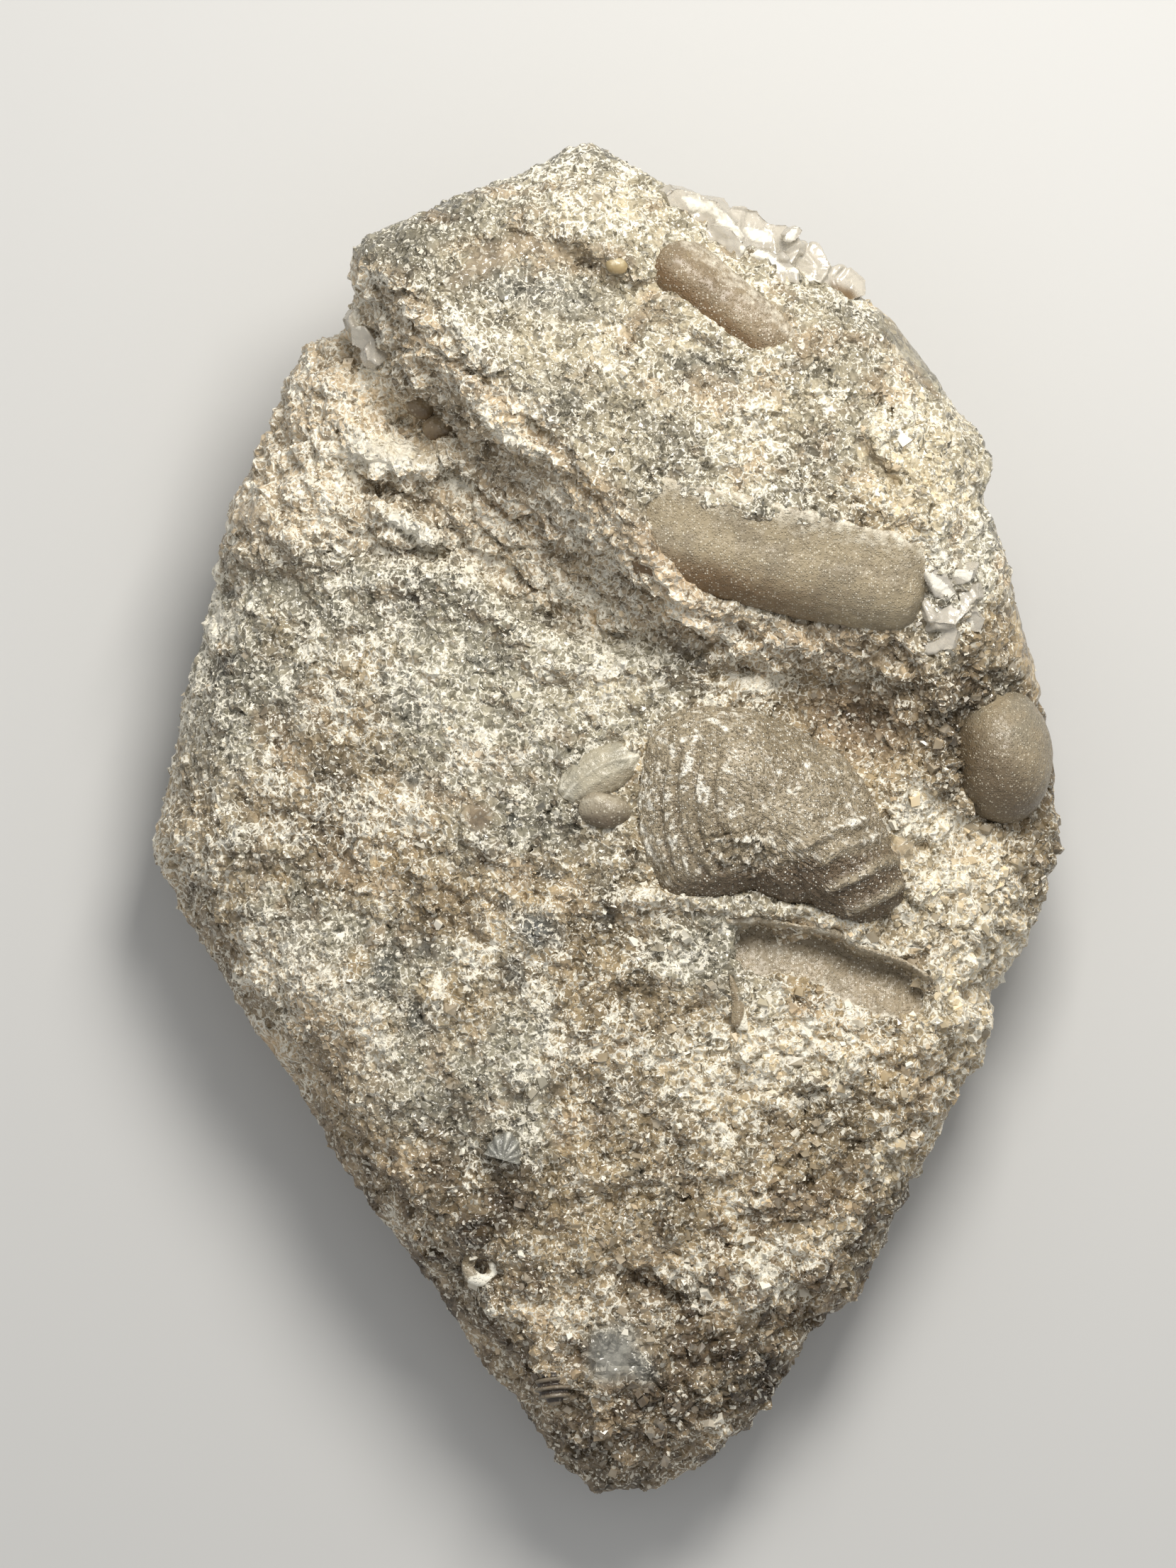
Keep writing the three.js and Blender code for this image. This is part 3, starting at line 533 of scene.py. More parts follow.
# Patches on the stone: the middle, the two radii, the turn in degrees and the strength
stonePatches = {
    "frosted": [
        ((-13.2, 22.0), (2.3, 1.1), -10, 1.5),
        ((-8.9, 20.4), (1.6, 0.45), -35, 1.0),
        ((-10.6, 21.0), (1.4, 0.3), 10, 0.6),
        ((-6.4, 28.9), (0.9, 0.6), 20, 0.8),
        ((-8.3, 29.0), (2.8, 0.45), -52, 0.9),
        ((-13.6, 32.4), (1.0, 0.4), -15, 0.8),
        ((-10.8, 31.7), (0.6, 0.35), 0, 0.8),
        ((-5.6, 22.7), (2.2, 0.45), -32, 0.7),
        ((-11.8, 17.6), (2.1, 0.8), -35, 1.2),
        ((-10.8, 21.6), (1.4, 0.8), 0, 0.7),
        ((12.9, 24.9), (0.5, 0.8), 25, 0.8),
        ((12.1, 22.7), (0.3, 0.9), 25, 0.6),
        ((16.9, 0.0), (0.9, 0.4), -15, 0.9),
        ((6.0, -4.7), (6.5, 0.6), -2, 0.5),
        ((16.4, -7.6), (3.4, 0.6), -26, 0.6),
        ((19.7, -11.0), (0.6, 1.4), 10, 0.7),
        ((9.4, -28.9), (0.7, 0.6), 0, 0.8),
        ((6.7, -36.4), (0.6, 0.5), 0, 0.8),
        ((0.2, -29.4), (1.9, 0.3), 0, 0.6),
        ((-4.6, -27.8), (1.3, 0.9), 0, 0.5),
        ((19.5, 15.5), (1.0, 2.0), 35, 0.7),
        ((2.0, 39.6), (0.5, 2.4), -40, 0.9),
        ((4.0, 3.6), (0.5, 1.9), 20, 0.7),
        ((20.5, -4.0), (4.0, 6.5), 10, 0.45),
        ((8.0, -14.0), (5.0, 2.5), -10, 0.4),
    ],
    "yellowed": [
        ((18.6, 21.5), (4.0, 4.6), 30, 0.9),
        ((3.0, 28.0), (15.0, 9.0), -10, 0.6),
        ((1.5, 30.0), (3.5, 2.0), -30, 0.6),
        ((2.0, 36.5), (5.0, 2.4), -25, 0.6),
        ((20.5, -6.0), (5.0, 8.0), 15, 0.7),
        ((9.3, -27.5), (1.7, 1.3), 0, 0.8),
        ((16.9, -20.5), (1.2, 1.8), -35, 0.6),
        ((8.0, -14.5), (6.0, 3.0), 0, 0.4),
        ((1.0, 7.6), (5.0, 1.6), 0, 0.5),
        ((9.5, -5.0), (6.5, 0.7), -5, 0.8),
        ((19.8, 9.8), (1.3, 1.1), 0, 0.7),
        ((-24.3, -2.0), (2.4, 6.5), 5, 0.35),
    ],
    # brown stains, with some patches laid in hollows and under the arched step as painted shade
    "stainedAndShaded": [
        ((-11.0, 27.6), (4.6, 2.0), -50, 0.8),
        ((-8.2, 26.4), (2.6, 0.8), -35, 0.9),
        ((-4.0, 23.0), (2.0, 0.6), -38, 0.9),
        ((-5.9, 21.2), (1.9, 0.6), -50, 0.8),
        ((-6.5, 18.8), (8.5, 2.3), -32, 0.85),
        ((4.5, 12.2), (7.0, 2.0), -14, 0.85),
        ((12.5, 10.6), (5.5, 1.5), -6, 0.85),
        ((1.8, 16.4), (2.4, 1.6), -50, 0.8),
        ((3.6, 15.2), (4.6, 1.5), -49, 1.0),
        ((-7.5, 33.2), (2.6, 0.8), 35, 0.7),
        ((-3.4, 33.8), (2.4, 0.6), -12, 0.6),
        ((-10.8, 24.4), (2.4, 1.5), -40, 0.9),
        ((0.2, 19.4), (2.4, 0.9), -35, 0.7),
        ((-13.0, 17.0), (2.6, 0.9), -25, 0.8),
        ((15.0, 6.2), (3.4, 2.4), -20, 1.0),
        ((21.4, 8.5), (0.9, 0.4), -15, 0.9),
        ((-7.5, -26.2), (0.9, 0.7), 0, 1.0),
        ((3.0, -34.0), (14.0, 8.0), 0, 0.45),
        ((-24.8, 0.0), (2.0, 9.0), 5, 0.35),
        ((-6.2, 34.4), (3.8, 0.5), 4, 0.6),
        ((-0.4, 32.9), (1.4, 0.35), -45, 0.7),
        ((-5.7, -22.8), (1.9, 1.0), -8, 1.0),
        ((8.4, 9.3), (1.2, 0.7), -25, 0.7),
        ((9.0, -3.6), (6.0, 0.6), -5, 0.8),
        ((12.3, 28.4), (1.2, 0.6), -40, 0.7),
        ((-7.7, 0.4), (0.9, 0.9), 0, 0.8),
        ((-7.4, -2.2), (0.6, 0.6), 0, 0.7),
        ((-6.1, -22.5), (1.7, 1.1), -20, 0.9),
        ((-10.3, -5.7), (0.25, 1.0), 5, 0.9),
        ((-17.0, -12.5), (7.0, 3.0), -58, 0.6),
        ((-9.5, -24.5), (8.0, 2.5), -55, 0.5),
        ((2.0, -36.5), (8.0, 4.0), 0, 0.6),
        ((2.6, -27.8), (2.0, 0.8), -15, 0.9),
        ((11.0, -33.0), (4.0, 3.0), 40, 0.5),
        ((17.8, -1.6), (0.9, 0.9), 0, 0.6),
        ((9.6, -12.9), (1.1, 0.8), 20, 0.8),
        ((11.9, -11.1), (1.0, 0.5), 0, 0.8),
        ((20.0, -3.0), (3.0, 1.0), 40, 0.3),
        ((-20.0, 1.0), (6.0, 1.4), -30, 0.4),
    ],
    # dark brown spots, several laid along grooves and in hollows as painted shade
    "umber": [
        ((-7.7, 0.4), (0.8, 0.8), 0, 0.55),
        ((-7.4, -2.2), (0.6, 0.6), 0, 0.5),
        ((-6.0, -22.7), (1.6, 0.9), -10, 0.7),
        ((-10.3, -5.9), (0.22, 1.3), 4, 0.8),
        ((2.6, -27.8), (1.8, 0.5), -15, 0.7),
        ((15.2, 5.8), (3.0, 1.7), -25, 0.75),
        ((9.3, -4.1), (4.5, 0.35), -3, 0.5),
        ((1.5, -38.0), (9.0, 5.0), 0, 0.3),
        ((-12.0, 32.6), (1.6, 0.35), 10, 0.5),
        ((12.0, 9.9), (5.0, 0.5), -6, 0.35),
    ],
    "slaty": [
        ((-4.2, -6.4), (1.7, 1.3), -10, 0.9),
        ((-5.4, -9.0), (0.8, 1.3), 10, 0.7),
        ((-3.3, -2.9), (0.6, 0.4), 0, 0.9),
        ((-5.8, -4.9), (0.6, 0.5), 0, 0.8),
        ((-11.7, 2.6), (0.7, 0.5), 0, 0.8),
        ((-3.7, -2.8), (0.5, 0.7), 0, 0.7),
        ((3.9, 22.9), (2.8, 1.3), -30, 0.3),
        ((5.8, 26.8), (2.6, 1.2), -20, 0.6),
        ((-4.0, 31.5), (4.2, 1.7), -12, 0.65),
        ((-3.4, 25.3), (2.8, 1.6), -30, 0.4),
        ((-13.0, 7.0), (3.0, 1.2), -20, 0.45),
        ((-16.5, 3.0), (2.2, 1.0), -30, 0.4),
        ((-9.7, -21.0), (0.6, 1.1), 20, 0.5),
        ((5.0, -28.0), (0.9, 0.7), 0, 0.8),
        ((0.5, -32.1), (1.9, 1.8), -20, 0.4),
        ((-6.2, -19.4), (1.1, 1.2), 0, 0.6),
    ],
    "ochreStained": [
        ((-19.6, -3.3), (0.5, 1.0), 20, 0.45),
        ((-15.0, -8.4), (0.8, 1.4), -40, 0.4),
        ((-4.8, 22.2), (0.35, 0.22), -20, 1.0),
        ((-20.3, -13.5), (0.9, 0.6), -50, 0.5),
        ((-1.0, 19.6), (0.8, 0.5), -35, 0.4),
    ],
    "brightened": [
        ((16.8, -20.0), (2.2, 7.5), -35, 0.35),
        ((-20.5, -1.0), (4.5, 8.0), 12, 0.2),
        ((11.0, -24.0), (7.0, 5.0), 40, 0.15),
        ((20.5, -6.0), (5.0, 8.0), 15, 0.4),
        ((11.0, -12.5), (6.0, 2.5), -15, 0.2),
        ((8.5, -28.0), (2.6, 1.4), 25, 0.25),
        ((19.0, 22.0), (5.0, 6.0), 30, 0.12),
        ((-2.0, -10.0), (9.0, 8.0), 0, 0.14),
    ],
    "glassy": [
        ((0.4, -31.7), (1.5, 1.9), -20, 0.9),
        ((1.9, -32.6), (1.3, 0.9), -40, 0.8),
    ],
    "smoothed": [
        ((18.2, 28.2), (2.9, 1.0), -52, 1.0),
        ((-7.4, 33.3), (2.6, 0.8), 35, 0.8),
        ((-3.6, 34.0), (2.6, 0.7), -12, 0.8),
        ((3.5, 15.2), (4.4, 1.1), -49, 0.35),
        ((15.9, 21.4), (2.0, 0.35), -43, 1.0),
        ((9.4, 34.7), (5.4, 0.8), -31, 0.9),
        ((0.5, -32.1), (2.0, 1.8), -20, 0.9),
        ((25.0, 10.6), (0.9, 3.9), 14, 0.8),
        ((22.9, 10.4), (1.0, 1.2), 10, 0.7),
        ((-7.7, 0.4), (0.8, 0.8), 0, 1.0),
        ((-2.6, 4.1), (0.8, 0.5), 25, 1.0),
        ((17.8, -1.5), (0.8, 0.9), 0, 1.0),
        ((-20.4, -13.6), (0.9, 0.6), -50, 1.0),
        ((-10.9, 22.1), (1.0, 0.6), 10, 0.8),
        ((-13.4, 22.1), (1.7, 0.8), -10, 0.5),
        ((-21.4, 18.4), (0.9, 0.7), 0, 0.8),
        ((-1.2, -21.4), (1.0, 0.7), 0, 0.5),
    ],
}


def paintedAt(points, spots):
    ragged = points[:, :2] + 0.35 * np.stack(
        [softNoise(points, 0.9, 21), softNoise(points, 0.9, 22)], axis=1
    )
    amount = np.zeros(len(points))
    for middle, radii, degrees, strength in spots:
        amount = np.maximum(amount, strength * within(ragged, middle, radii, degrees, 4))
    return amount


def onScarp(places, shape=stone):
    amount = smoothly(beside(places, shape["ledgeLine"]), -0.5, 1.5)
    return amount * smoothly(-beside(places, shape["crestLine"]), -0.4, 0.8)


# Places with the scarp's streaks laid along X, squeezed so that noise comes out drawn along them.
def drawnOut(points, longer, taller, shape=stone):
    along = turned(points[:, :2], (0, 0), shape["streakHeading"])
    return np.column_stack([along[:, 0] / longer, along[:, 1], points[:, 2] / taller])


def alongScarp(points, size, seed):
    return layeredNoise(drawnOut(points, 5, 2), size, seed, 4)


# How much of each tint there is at a place on the stone, given how low it lies in the broken surface: low
# places, grooves and hollows get painted shade in the umber and slaty tints.
def tintsAt(points, outwards, low):
    tints = {name: paintedAt(points, spots) for name, spots in stonePatches.items()}
    rim = smoothly(6 - depthIn(points[:, :2], stone["outline"]), 0, 5) * (points[:, 1] < 4)
    warmer = 0.012 * points[:, 0] - 0.012 * points[:, 1] + 0.35 * rim
    tints["tanned"] = smoothly(layeredNoise(points, 8.0, 31) + warmer, -0.2, 0.25)
    raised, sunken = featuresAt(points[:, :2])
    southern = smoothly(-points[:, 1], 14, 26)
    # painted shade in creases: darker where the surface sinks into a groove or hollow, or lies low among its
    # crystals
    creaseShade = np.maximum(0.5 * smoothly(-sunken, 0.4, 1.3), 0.45 * smoothly(low, 0.05, 0.35))
    darker = (0.2 + 0.7 * southern) * smoothly(layeredNoise(points, 1.6, 37, 4), -0.05, 0.3)
    sloping = onScarp(points[:, :2])
    darker = np.maximum(creaseShade, darker) * (1 - 0.75 * sloping)
    browner = 0.35 + 0.65 * np.maximum(np.maximum(tints["tanned"], tints["stainedAndShaded"]), sloping)
    tints["umber"] = np.maximum(tints["umber"], darker * browner)
    tints["slaty"] = np.maximum(tints["slaty"], 0.8 * darker * (1 - browner) * (points[:, 1] < 16))
    browned = 0.7 * smoothly(layeredNoise(points, 2.6, 33, 4), 0.12, 0.4)
    # painted shade: faces turned south-west, away from the light, are browned, which also takes frost off
    # them
    shadedSide = smoothly(-outwards[:, 1] - 0.5 * outwards[:, 0], 0.25, 0.8)
    browned = np.maximum(browned, np.maximum(0.65 * shadedSide, 0.7 * sloping))
    tints["stainedAndShaded"] = np.maximum(tints["stainedAndShaded"], browned)
    tints["stainedAndShaded"] *= 1 - 0.6 * np.minimum(tints["frosted"], 1)
    slated = 0.6 * smoothly(layeredNoise(points, 1.9, 35, 4), 0.26, 0.45)
    slated *= (points[:, 0] < 6) & (points[:, 1] < 18)
    tints["slaty"] = np.maximum(tints["slaty"], slated) * (1 - 0.8 * tints["stainedAndShaded"])
    for tint in ("stainedAndShaded", "umber", "tanned"):
        tints[tint] *= 1 - tints["glassy"]
    broad = layeredNoise(points, 4.0, 43, 3)
    drifts = smoothly(layeredNoise(points, 1.0, 41, 4, 0.8) + 0.8 * broad, -0.05, 0.3)
    drifts *= 1 - 0.5 * tints["stainedAndShaded"]
    onTerrace = smoothly(beside(points[:, :2], stone["crestLine"]), -0.5, 1.5)
    # frost on raised crests and high points, partly the stone's frosted crystal and partly painted highlight
    drifts = np.maximum((0.8 - 0.35 * onTerrace) * drifts, 0.45 * smoothly(raised, 0.3, 1.0))
    drifts = np.maximum(drifts, 0.5 * smoothly(-low, 0.3, 0.7))
    streaks = smoothly(alongScarp(points, 1.1, 49), 0.12, 0.4)
    drifts = np.maximum(drifts, 0.8 * streaks * sloping)
    tints["frosted"] = np.maximum(tints["frosted"], drifts) * (1 - tints["smoothed"])
    tints["frosted"] *= 1 - 0.7 * np.maximum(tints["umber"], tints["slaty"])
    # some patches of the stone are lighter than others all through; the scarp is made lighter still as
    # painted light where it faces away from the lamp, and the stone darkens towards its south end
    lighter = 0.52 + 0.85 * layeredNoise(points, 4.5, 47, 4, 0.7) - 0.06 * onTerrace
    tints["lighter"] = lighter + 0.3 * sloping - 0.16 * southern + tints["brightened"]
    return tints


# Where each side of the stone lies on its bake map: the way it faces, the two axes it is drawn along, its
# scale and its lower left corner, in millimetres on the map
bakePanels = {
    "width": 98,
    "panels": [
        ((0, 0, 1.2), (0, 1), 1.0, (0, 0)),
        ((0, 0, -1), (0, 1), 0.5, (57, 50)),
        ((1, 0, 0), (2, 1), 0.55, (57, 0)),
        ((-1, 0, 0), (2, 1), 0.55, (74, 0)),
        ((0, 1, 0), (0, 2), 0.5, (0, 83.5)),
        ((0, -1, 0), (0, 2), 0.5, (28.5, 83.5)),
    ],
}


def addBakeMap(piece, spots):
    layer = piece.data.uv_layers.new(name="OFBake")
    layer.uv.foreach_set("vector", spots.astype(np.float32).ravel())


def mapStone(block, shape=bakePanels):
    mesh = block.data
    corner = readAll(mesh.loops, "vertex_index", kind=np.int32)
    counts = readAll(mesh.polygons, "loop_total", kind=np.int32)
    facing = np.repeat(readAll(mesh.polygons, "normal", 3), counts, axis=0)
    points = pointsOf(block)
    places = (points - points.min(axis=0))[corner]
    ways = np.array([way for way, *rest in shape["panels"]])
    panel = np.argmax(facing @ ways.T, axis=1)
    spots = np.zeros((len(corner), 2))
    for number, (way, axes, scale, low) in enumerate(shape["panels"]):
        chosen = panel == number
        spots[chosen] = places[chosen][:, axes] * scale + np.array(low)
    addBakeMap(block, spots / shape["width"])


limestone = startBlock()
breakFlanks(limestone)
roughen(limestone)
mapStone(limestone)
paint(limestone, **tintsAt(pointsOf(limestone), normalsOf(limestone), numbersOf(limestone, "low")))
print("stone:", len(limestone.data.polygons), "faces")


# Smooth fossils, each started from one solid and then shaped

def finishShape(piece):
    makeActive(piece)
    bpy.ops.object.mode_set(mode="EDIT")
    bpy.ops.mesh.select_all(action="SELECT")
    bpy.ops.mesh.remove_doubles(threshold=0.001 * mm)
    bpy.ops.mesh.normals_make_consistent(inside=False)
    bpy.ops.object.mode_set(mode="OBJECT")
    shadeSmooth(piece)


def addBall(name, middle, radii, degrees, segments, rings):
    deselectAll()
    bpy.ops.mesh.primitive_uv_sphere_add(
        segments=segments,
        ring_count=rings,
        radius=1,
        location=Vector(middle) * mm,
        rotation=(0, 0, math.radians(degrees)),
        scale=Vector(radii) * mm,
    )
    return takeNew(name)


# 1 along the middle of a line, falling off within this width.
def nearLine(off, width):
    return np.exp(-((off / width) ** 2))


# How high up in a flat block each point is: 0 at its bottom, 1 at its top.
def levelIn(points):
    return (points[:, 2] - points[:, 2].min()) / np.ptp(points[:, 2])


sandSizes = (1.4, 0.22)  # of the coarse and the fine grain on smooth fossils


# Roughens a piece with coarse and fine grain.
def sand(piece, coarse, fine, seed):
    points = pointsOf(piece)
    coarseSize, fineSize = sandSizes
    grain = coarse * layeredNoise(points, coarseSize, seed, 3)
    swell(piece, grain + fine * softNoise(points, fineSize, seed + 5))


# The tail shield: a broad dome, with growth lines on its left and ribs at its lower right
tailShield = {
    "middle": (9.6, 1.0),
    "rimHeight": 15.7,
    "topHeight": 20.3,
    "radii": (7, 6, 5),  # of the ball it starts from
    "buried": 1.2,  # how far below the rim it is cut off
    "overlap": 1.05,  # how far it runs on under the stone
    "lineDepth": 0.24,
    "lineWidth": 0.18,
    "bankWidth": 0.55,  # of the low banks on both sides of each line
    "ribHeight": 0.4,
    "ribWidth": 0.36,
    "crackDepth": 0.35,
    "crackWidth": 0.2,
    "crumbled": ((8.4, -1.7), (3.4, 1.4), -12),  # a patch of broken crystal: middle, radii and turn
    "sanding": (0.14, 0.1, 54),  # how far coarse and fine grain stand out, and a seed
    "growthLines": [
        [(4.3, 4.4), (4.0, 2.4), (4.1, 0.9), (4.3, -0.4), (4.9, -1.8), (5.9, -3.2)],
        [(5.5, 4.4), (5.1, 2.6), (5.2, 1.2), (5.4, -0.4), (5.9, -1.7), (6.8, -2.8)],
        [(6.7, 4.2), (6.3, 2.6), (6.4, 1.2), (6.6, 0.0), (7.3, -1.0)],
        [(3.4, 3.0), (3.1, 1.0), (3.4, -1.4), (4.0, -2.8)],
    ],
    "ribs": [
        [(11.7, -1.6), (12.6, -1.0), (14.1, -0.2), (15.3, 0.2)],
        [(12.9, -2.3), (14.3, -1.5), (15.9, -0.9)],
        [(13.2, -3.9), (14.9, -3.2), (15.9, -2.6), (17.0, -2.3)],
        [(14.4, -5.2), (16.1, -4.5), (17.3, -3.8)],
    ],
    "crack": [(12.6, 4.5), (14.0, 3.1), (15.1, 1.9), (15.9, 0.5)],
}


def modelTailShield(shape=tailShield):
    middle, rimHeight = np.array(shape["middle"]), shape["rimHeight"]
    shield = addBall("tailShield", (*middle, rimHeight), shape["radii"], 0, 192, 96)
    lowest = (0, 0, (rimHeight - shape["buried"]) * mm)
    cut(shield, lowest, (0, 0, 1), clear_inner=True, use_fill=True)
    points = pointsOf(shield)
    away = points[:, :2] - middle
    share = np.linalg.norm(away / np.array(shape["radii"][:2]), axis=1)
    # each way out from the middle reaches as far as the outline does
    outline = np.array(footprints["tailShield"]) - middle
    angles = np.arctan2(outline[:, 1], outline[:, 0])
    order = np.argsort(angles)
    reaches = np.linalg.norm(outline, axis=1)
    way = np.arctan2(away[:, 1], away[:, 0])
    reach = np.interp(way, angles[order], reaches[order], period=2 * math.pi)
    direction = np.stack([np.cos(way), np.sin(way)], axis=1)
    # it runs out gently to the upper left and falls steeply to the lower right
    gentle = smoothly(np.cos(way - math.radians(150)), -0.1, 0.8)
    level = reliefAt(middle + direction * (reach * 1.02)[:, None], bedded=False) + 0.15
    rim = rimHeight + (level - rimHeight) * gentle
    crown = np.clip(1 - np.minimum(share, 1) ** 2.2, 0, 1) ** (0.5 + 0.3 * gentle)
    upper = points[:, 2] > rimHeight
    points[:, :2] = middle + direction * (share * reach * shape["overlap"])[:, None]
    points[:, 2] = np.where(upper, rim + (shape["topHeight"] - rim) * crown, points[:, 2])
    setPoints(shield, points)
    # growth lines, ribs and a crack, all slightly wavy
    points = pointsOf(shield)
    waves = np.stack([softNoise(points, 1.5, 51), softNoise(points, 1.5, 52)], axis=1)
    places = points[:, :2] + 0.12 * waves
    offLines = [beside(places, line) for line in shape["growthLines"]]
    offRibs = [beside(places, line) for line in shape["ribs"]]
    change = np.zeros(len(points))
    for off in offLines:
        change -= shape["lineDepth"] * nearLine(off, shape["lineWidth"])
        change += 0.4 * shape["lineDepth"] * nearLine(off, shape["bankWidth"])
    for off in offRibs:
        change += shape["ribHeight"] * nearLine(off, shape["ribWidth"])
    change -= shape["crackDepth"] * nearLine(beside(places, shape["crack"]), shape["crackWidth"])
    crumbled = within(places, *shape["crumbled"], sharp=4)
    lumps = brokenFacets(points, 0.6, 53, 0.4, 0.7)
    change += crumbled * (0.75 * lumps - 0.15)
    swell(shield, change * smoothly(points[:, 2], rimHeight, rimHeight + 0.8))
    sand(shield, *shape["sanding"])
    # aged in its lines, with painted shade on its near side and a painted shadow along its steep bottom edge;
    # dusty with crystal elsewhere
    points = pointsOf(shield)
    # painted shade: darker towards the near, south-west side, away from the light
    low = smoothly(-0.6 * points[:, 1] - 0.25 * points[:, 0], -3.0, 1.0)
    lines = sum(nearLine(off, 0.22) for off in offLines)
    ribs = sum(nearLine(off, 0.34) for off in offRibs)
    onRibs = smoothly(places[:, 0] - places[:, 1], 12.5, 15.5)
    # painted shadow along the steep bottom edge, which also takes frost off it
    under = smoothly(-places[:, 1] + 0.15 * places[:, 0], 3.4, 4.8)
    leftward = smoothly(-places[:, 0], -8.5, -5)
    aged = 0.6 * low * (1 - 0.6 * leftward) + 0.3 * lines + 0.5 * under - 0.9 * ribs + 0.35 * onRibs
    patches = smoothly(layeredNoise(points, 0.5, 57, 4, 0.9) + 0.2 * layeredNoise(points, 3.0, 59), -0.1, 0.4)
    dusty = (0.52 + 0.2 * leftward) * patches + 0.2 * ribs + 0.5 * crumbled * lumps
    dusty -= 0.35 * under + 0.3 * lines
    paint(shield, aged=np.clip(aged, 0, 1), frosted=np.clip(dusty, 0, 1))
    return shield


# Casts like worn rods, flush with the stone on their far side and rolling down on their near side
casts = {
    "longCast": {
        "ends": [(1.4, 17.7), (19.1, 13.8)],
        "radii": (3.5, 3.0),  # half the width at each end
        "tops": (24.8, 23.6),  # how high its middle stands at each end
        "depth": 3.4,
        "aged": (0.15, 0.9, 0.0),  # all over, and on the near side at each end
        "blunt": 14,  # the higher, the squarer its ends
        "segments": 160,
        "rings": 150,
        "sanding": (0.12, 0.03, 61),
    },
    "upperCast": {
        "ends": [(2.9, 34.1), (10.9, 27.5)],
        "radii": (2.1, 1.8),
        "tops": (24.9, 24.4),
        "depth": 2.1,
        "aged": (0.5, 0.8, 0.8),
        "blunt": 5,
        "segments": 96,
        "rings": 80,
        "sanding": (0.12, 0.03, 66),
    },
}


def modelCast(name):
    shape = casts[name]
    first, last = (np.array(end, float) for end in shape["ends"])
    axis = (last - first) / np.linalg.norm(last - first)
    across = np.array([-axis[1], axis[0]])
    half = np.linalg.norm(last - first) / 2
    cast = addBall(name, (0, 0, 0), (1, 1, 1), 0, shape["segments"], shape["rings"])
    ball = pointsOf(cast)
    # the ball's poles become the two ends
    along = np.clip(ball[:, 2], -1, 1)
    around = np.arctan2(ball[:, 1], ball[:, 0])
    side, up = np.cos(around), np.sin(around)
    share = (1 + along) / 2
    full = (1 - np.abs(along) ** shape["blunt"]) ** (1 / 3)
    wide = np.interp(share, (0, 1), shape["radii"])
    top = np.interp(share, (0, 1), shape["tops"])
    # a round side at the front, a squarer one at the back that runs out level with the stone
    squared = (np.abs(side) ** 12 + np.abs(up) ** 12) ** (-1 / 12)
    stretch = np.where(side > 0, squared, 1)
    side, up = side * stretch, up * stretch
    spine = (first + last) / 2 + np.outer(along * half, axis)
    flat = spine + np.outer(side * full * wide, across)
    behind = spine + np.outer(wide * 0.9, across)
    level = reliefAt(behind, bedded=False) + 0.3
    top = top + (level - top) * np.clip(side, 0, 1) ** 2
    height = top - shape["depth"] + up * full * shape["depth"]
    setPoints(cast, np.column_stack([flat, height]))
    allOver, *nearSide = shape["aged"]
    # painted shade: the near side, rolling down away from the light, goes darker
    low = smoothly(-side, 0.0, 0.85)
    paint(
        cast,
        aged=allOver + low * np.interp(share, (0.3, 0.85), nearSide),
        frosted=np.clip(0.1 + 0.3 * smoothly(side, 0.2, 0.95), 0, 1),
    )
    finishShape(cast)
    sand(cast, *shape["sanding"])
    return cast


edgeDomeShape = {
    "middle": (23.6, 4.1, 14.4),
    "radii": (3.1, 4.2, 3.9),
    "turn": 6,
    "sanding": (0.08, 0.03, 71),
}


def modelEdgeDome(shape=edgeDomeShape):
    dome = addBall("edgeDome", shape["middle"], shape["radii"], shape["turn"], 128, 80)
    sand(dome, *shape["sanding"])
    points = pointsOf(dome)
    # painted shade: darker on its lower left, away from the light
    low = smoothly((shape["middle"][0] - points[:, 0]) + (shape["middle"][1] - points[:, 1]), -2.5, 3)
    paint(dome, aged=0.25 + 0.75 * low, frosted=np.zeros(len(points)))
    return dome


# The arched shell: a thin bright rim over a smooth hollow mould
archedShellShape = {
    "rim": [
        (7.3, -6.0), (9.1, -5.75), (11.3, -6.2), (12.9, -6.5), (14.3, -6.9), (15.1, -7.55),
        (16.8, -8.0), (18.3, -8.55), (19.1, -9.2),
    ],
    "rimHeight": 0.45,
    "rimWidth": 0.38,
    "hollowDepth": 1.35,
    "thickness": 1.9,
    "height": 15.5,  # of the middle of the block it starts from
    "spread": 1.04,  # how far past its outline it runs under the stone
    "cell": 0.13,  # mesh size
    "sanding": (0.16, 0.1, 81),
}


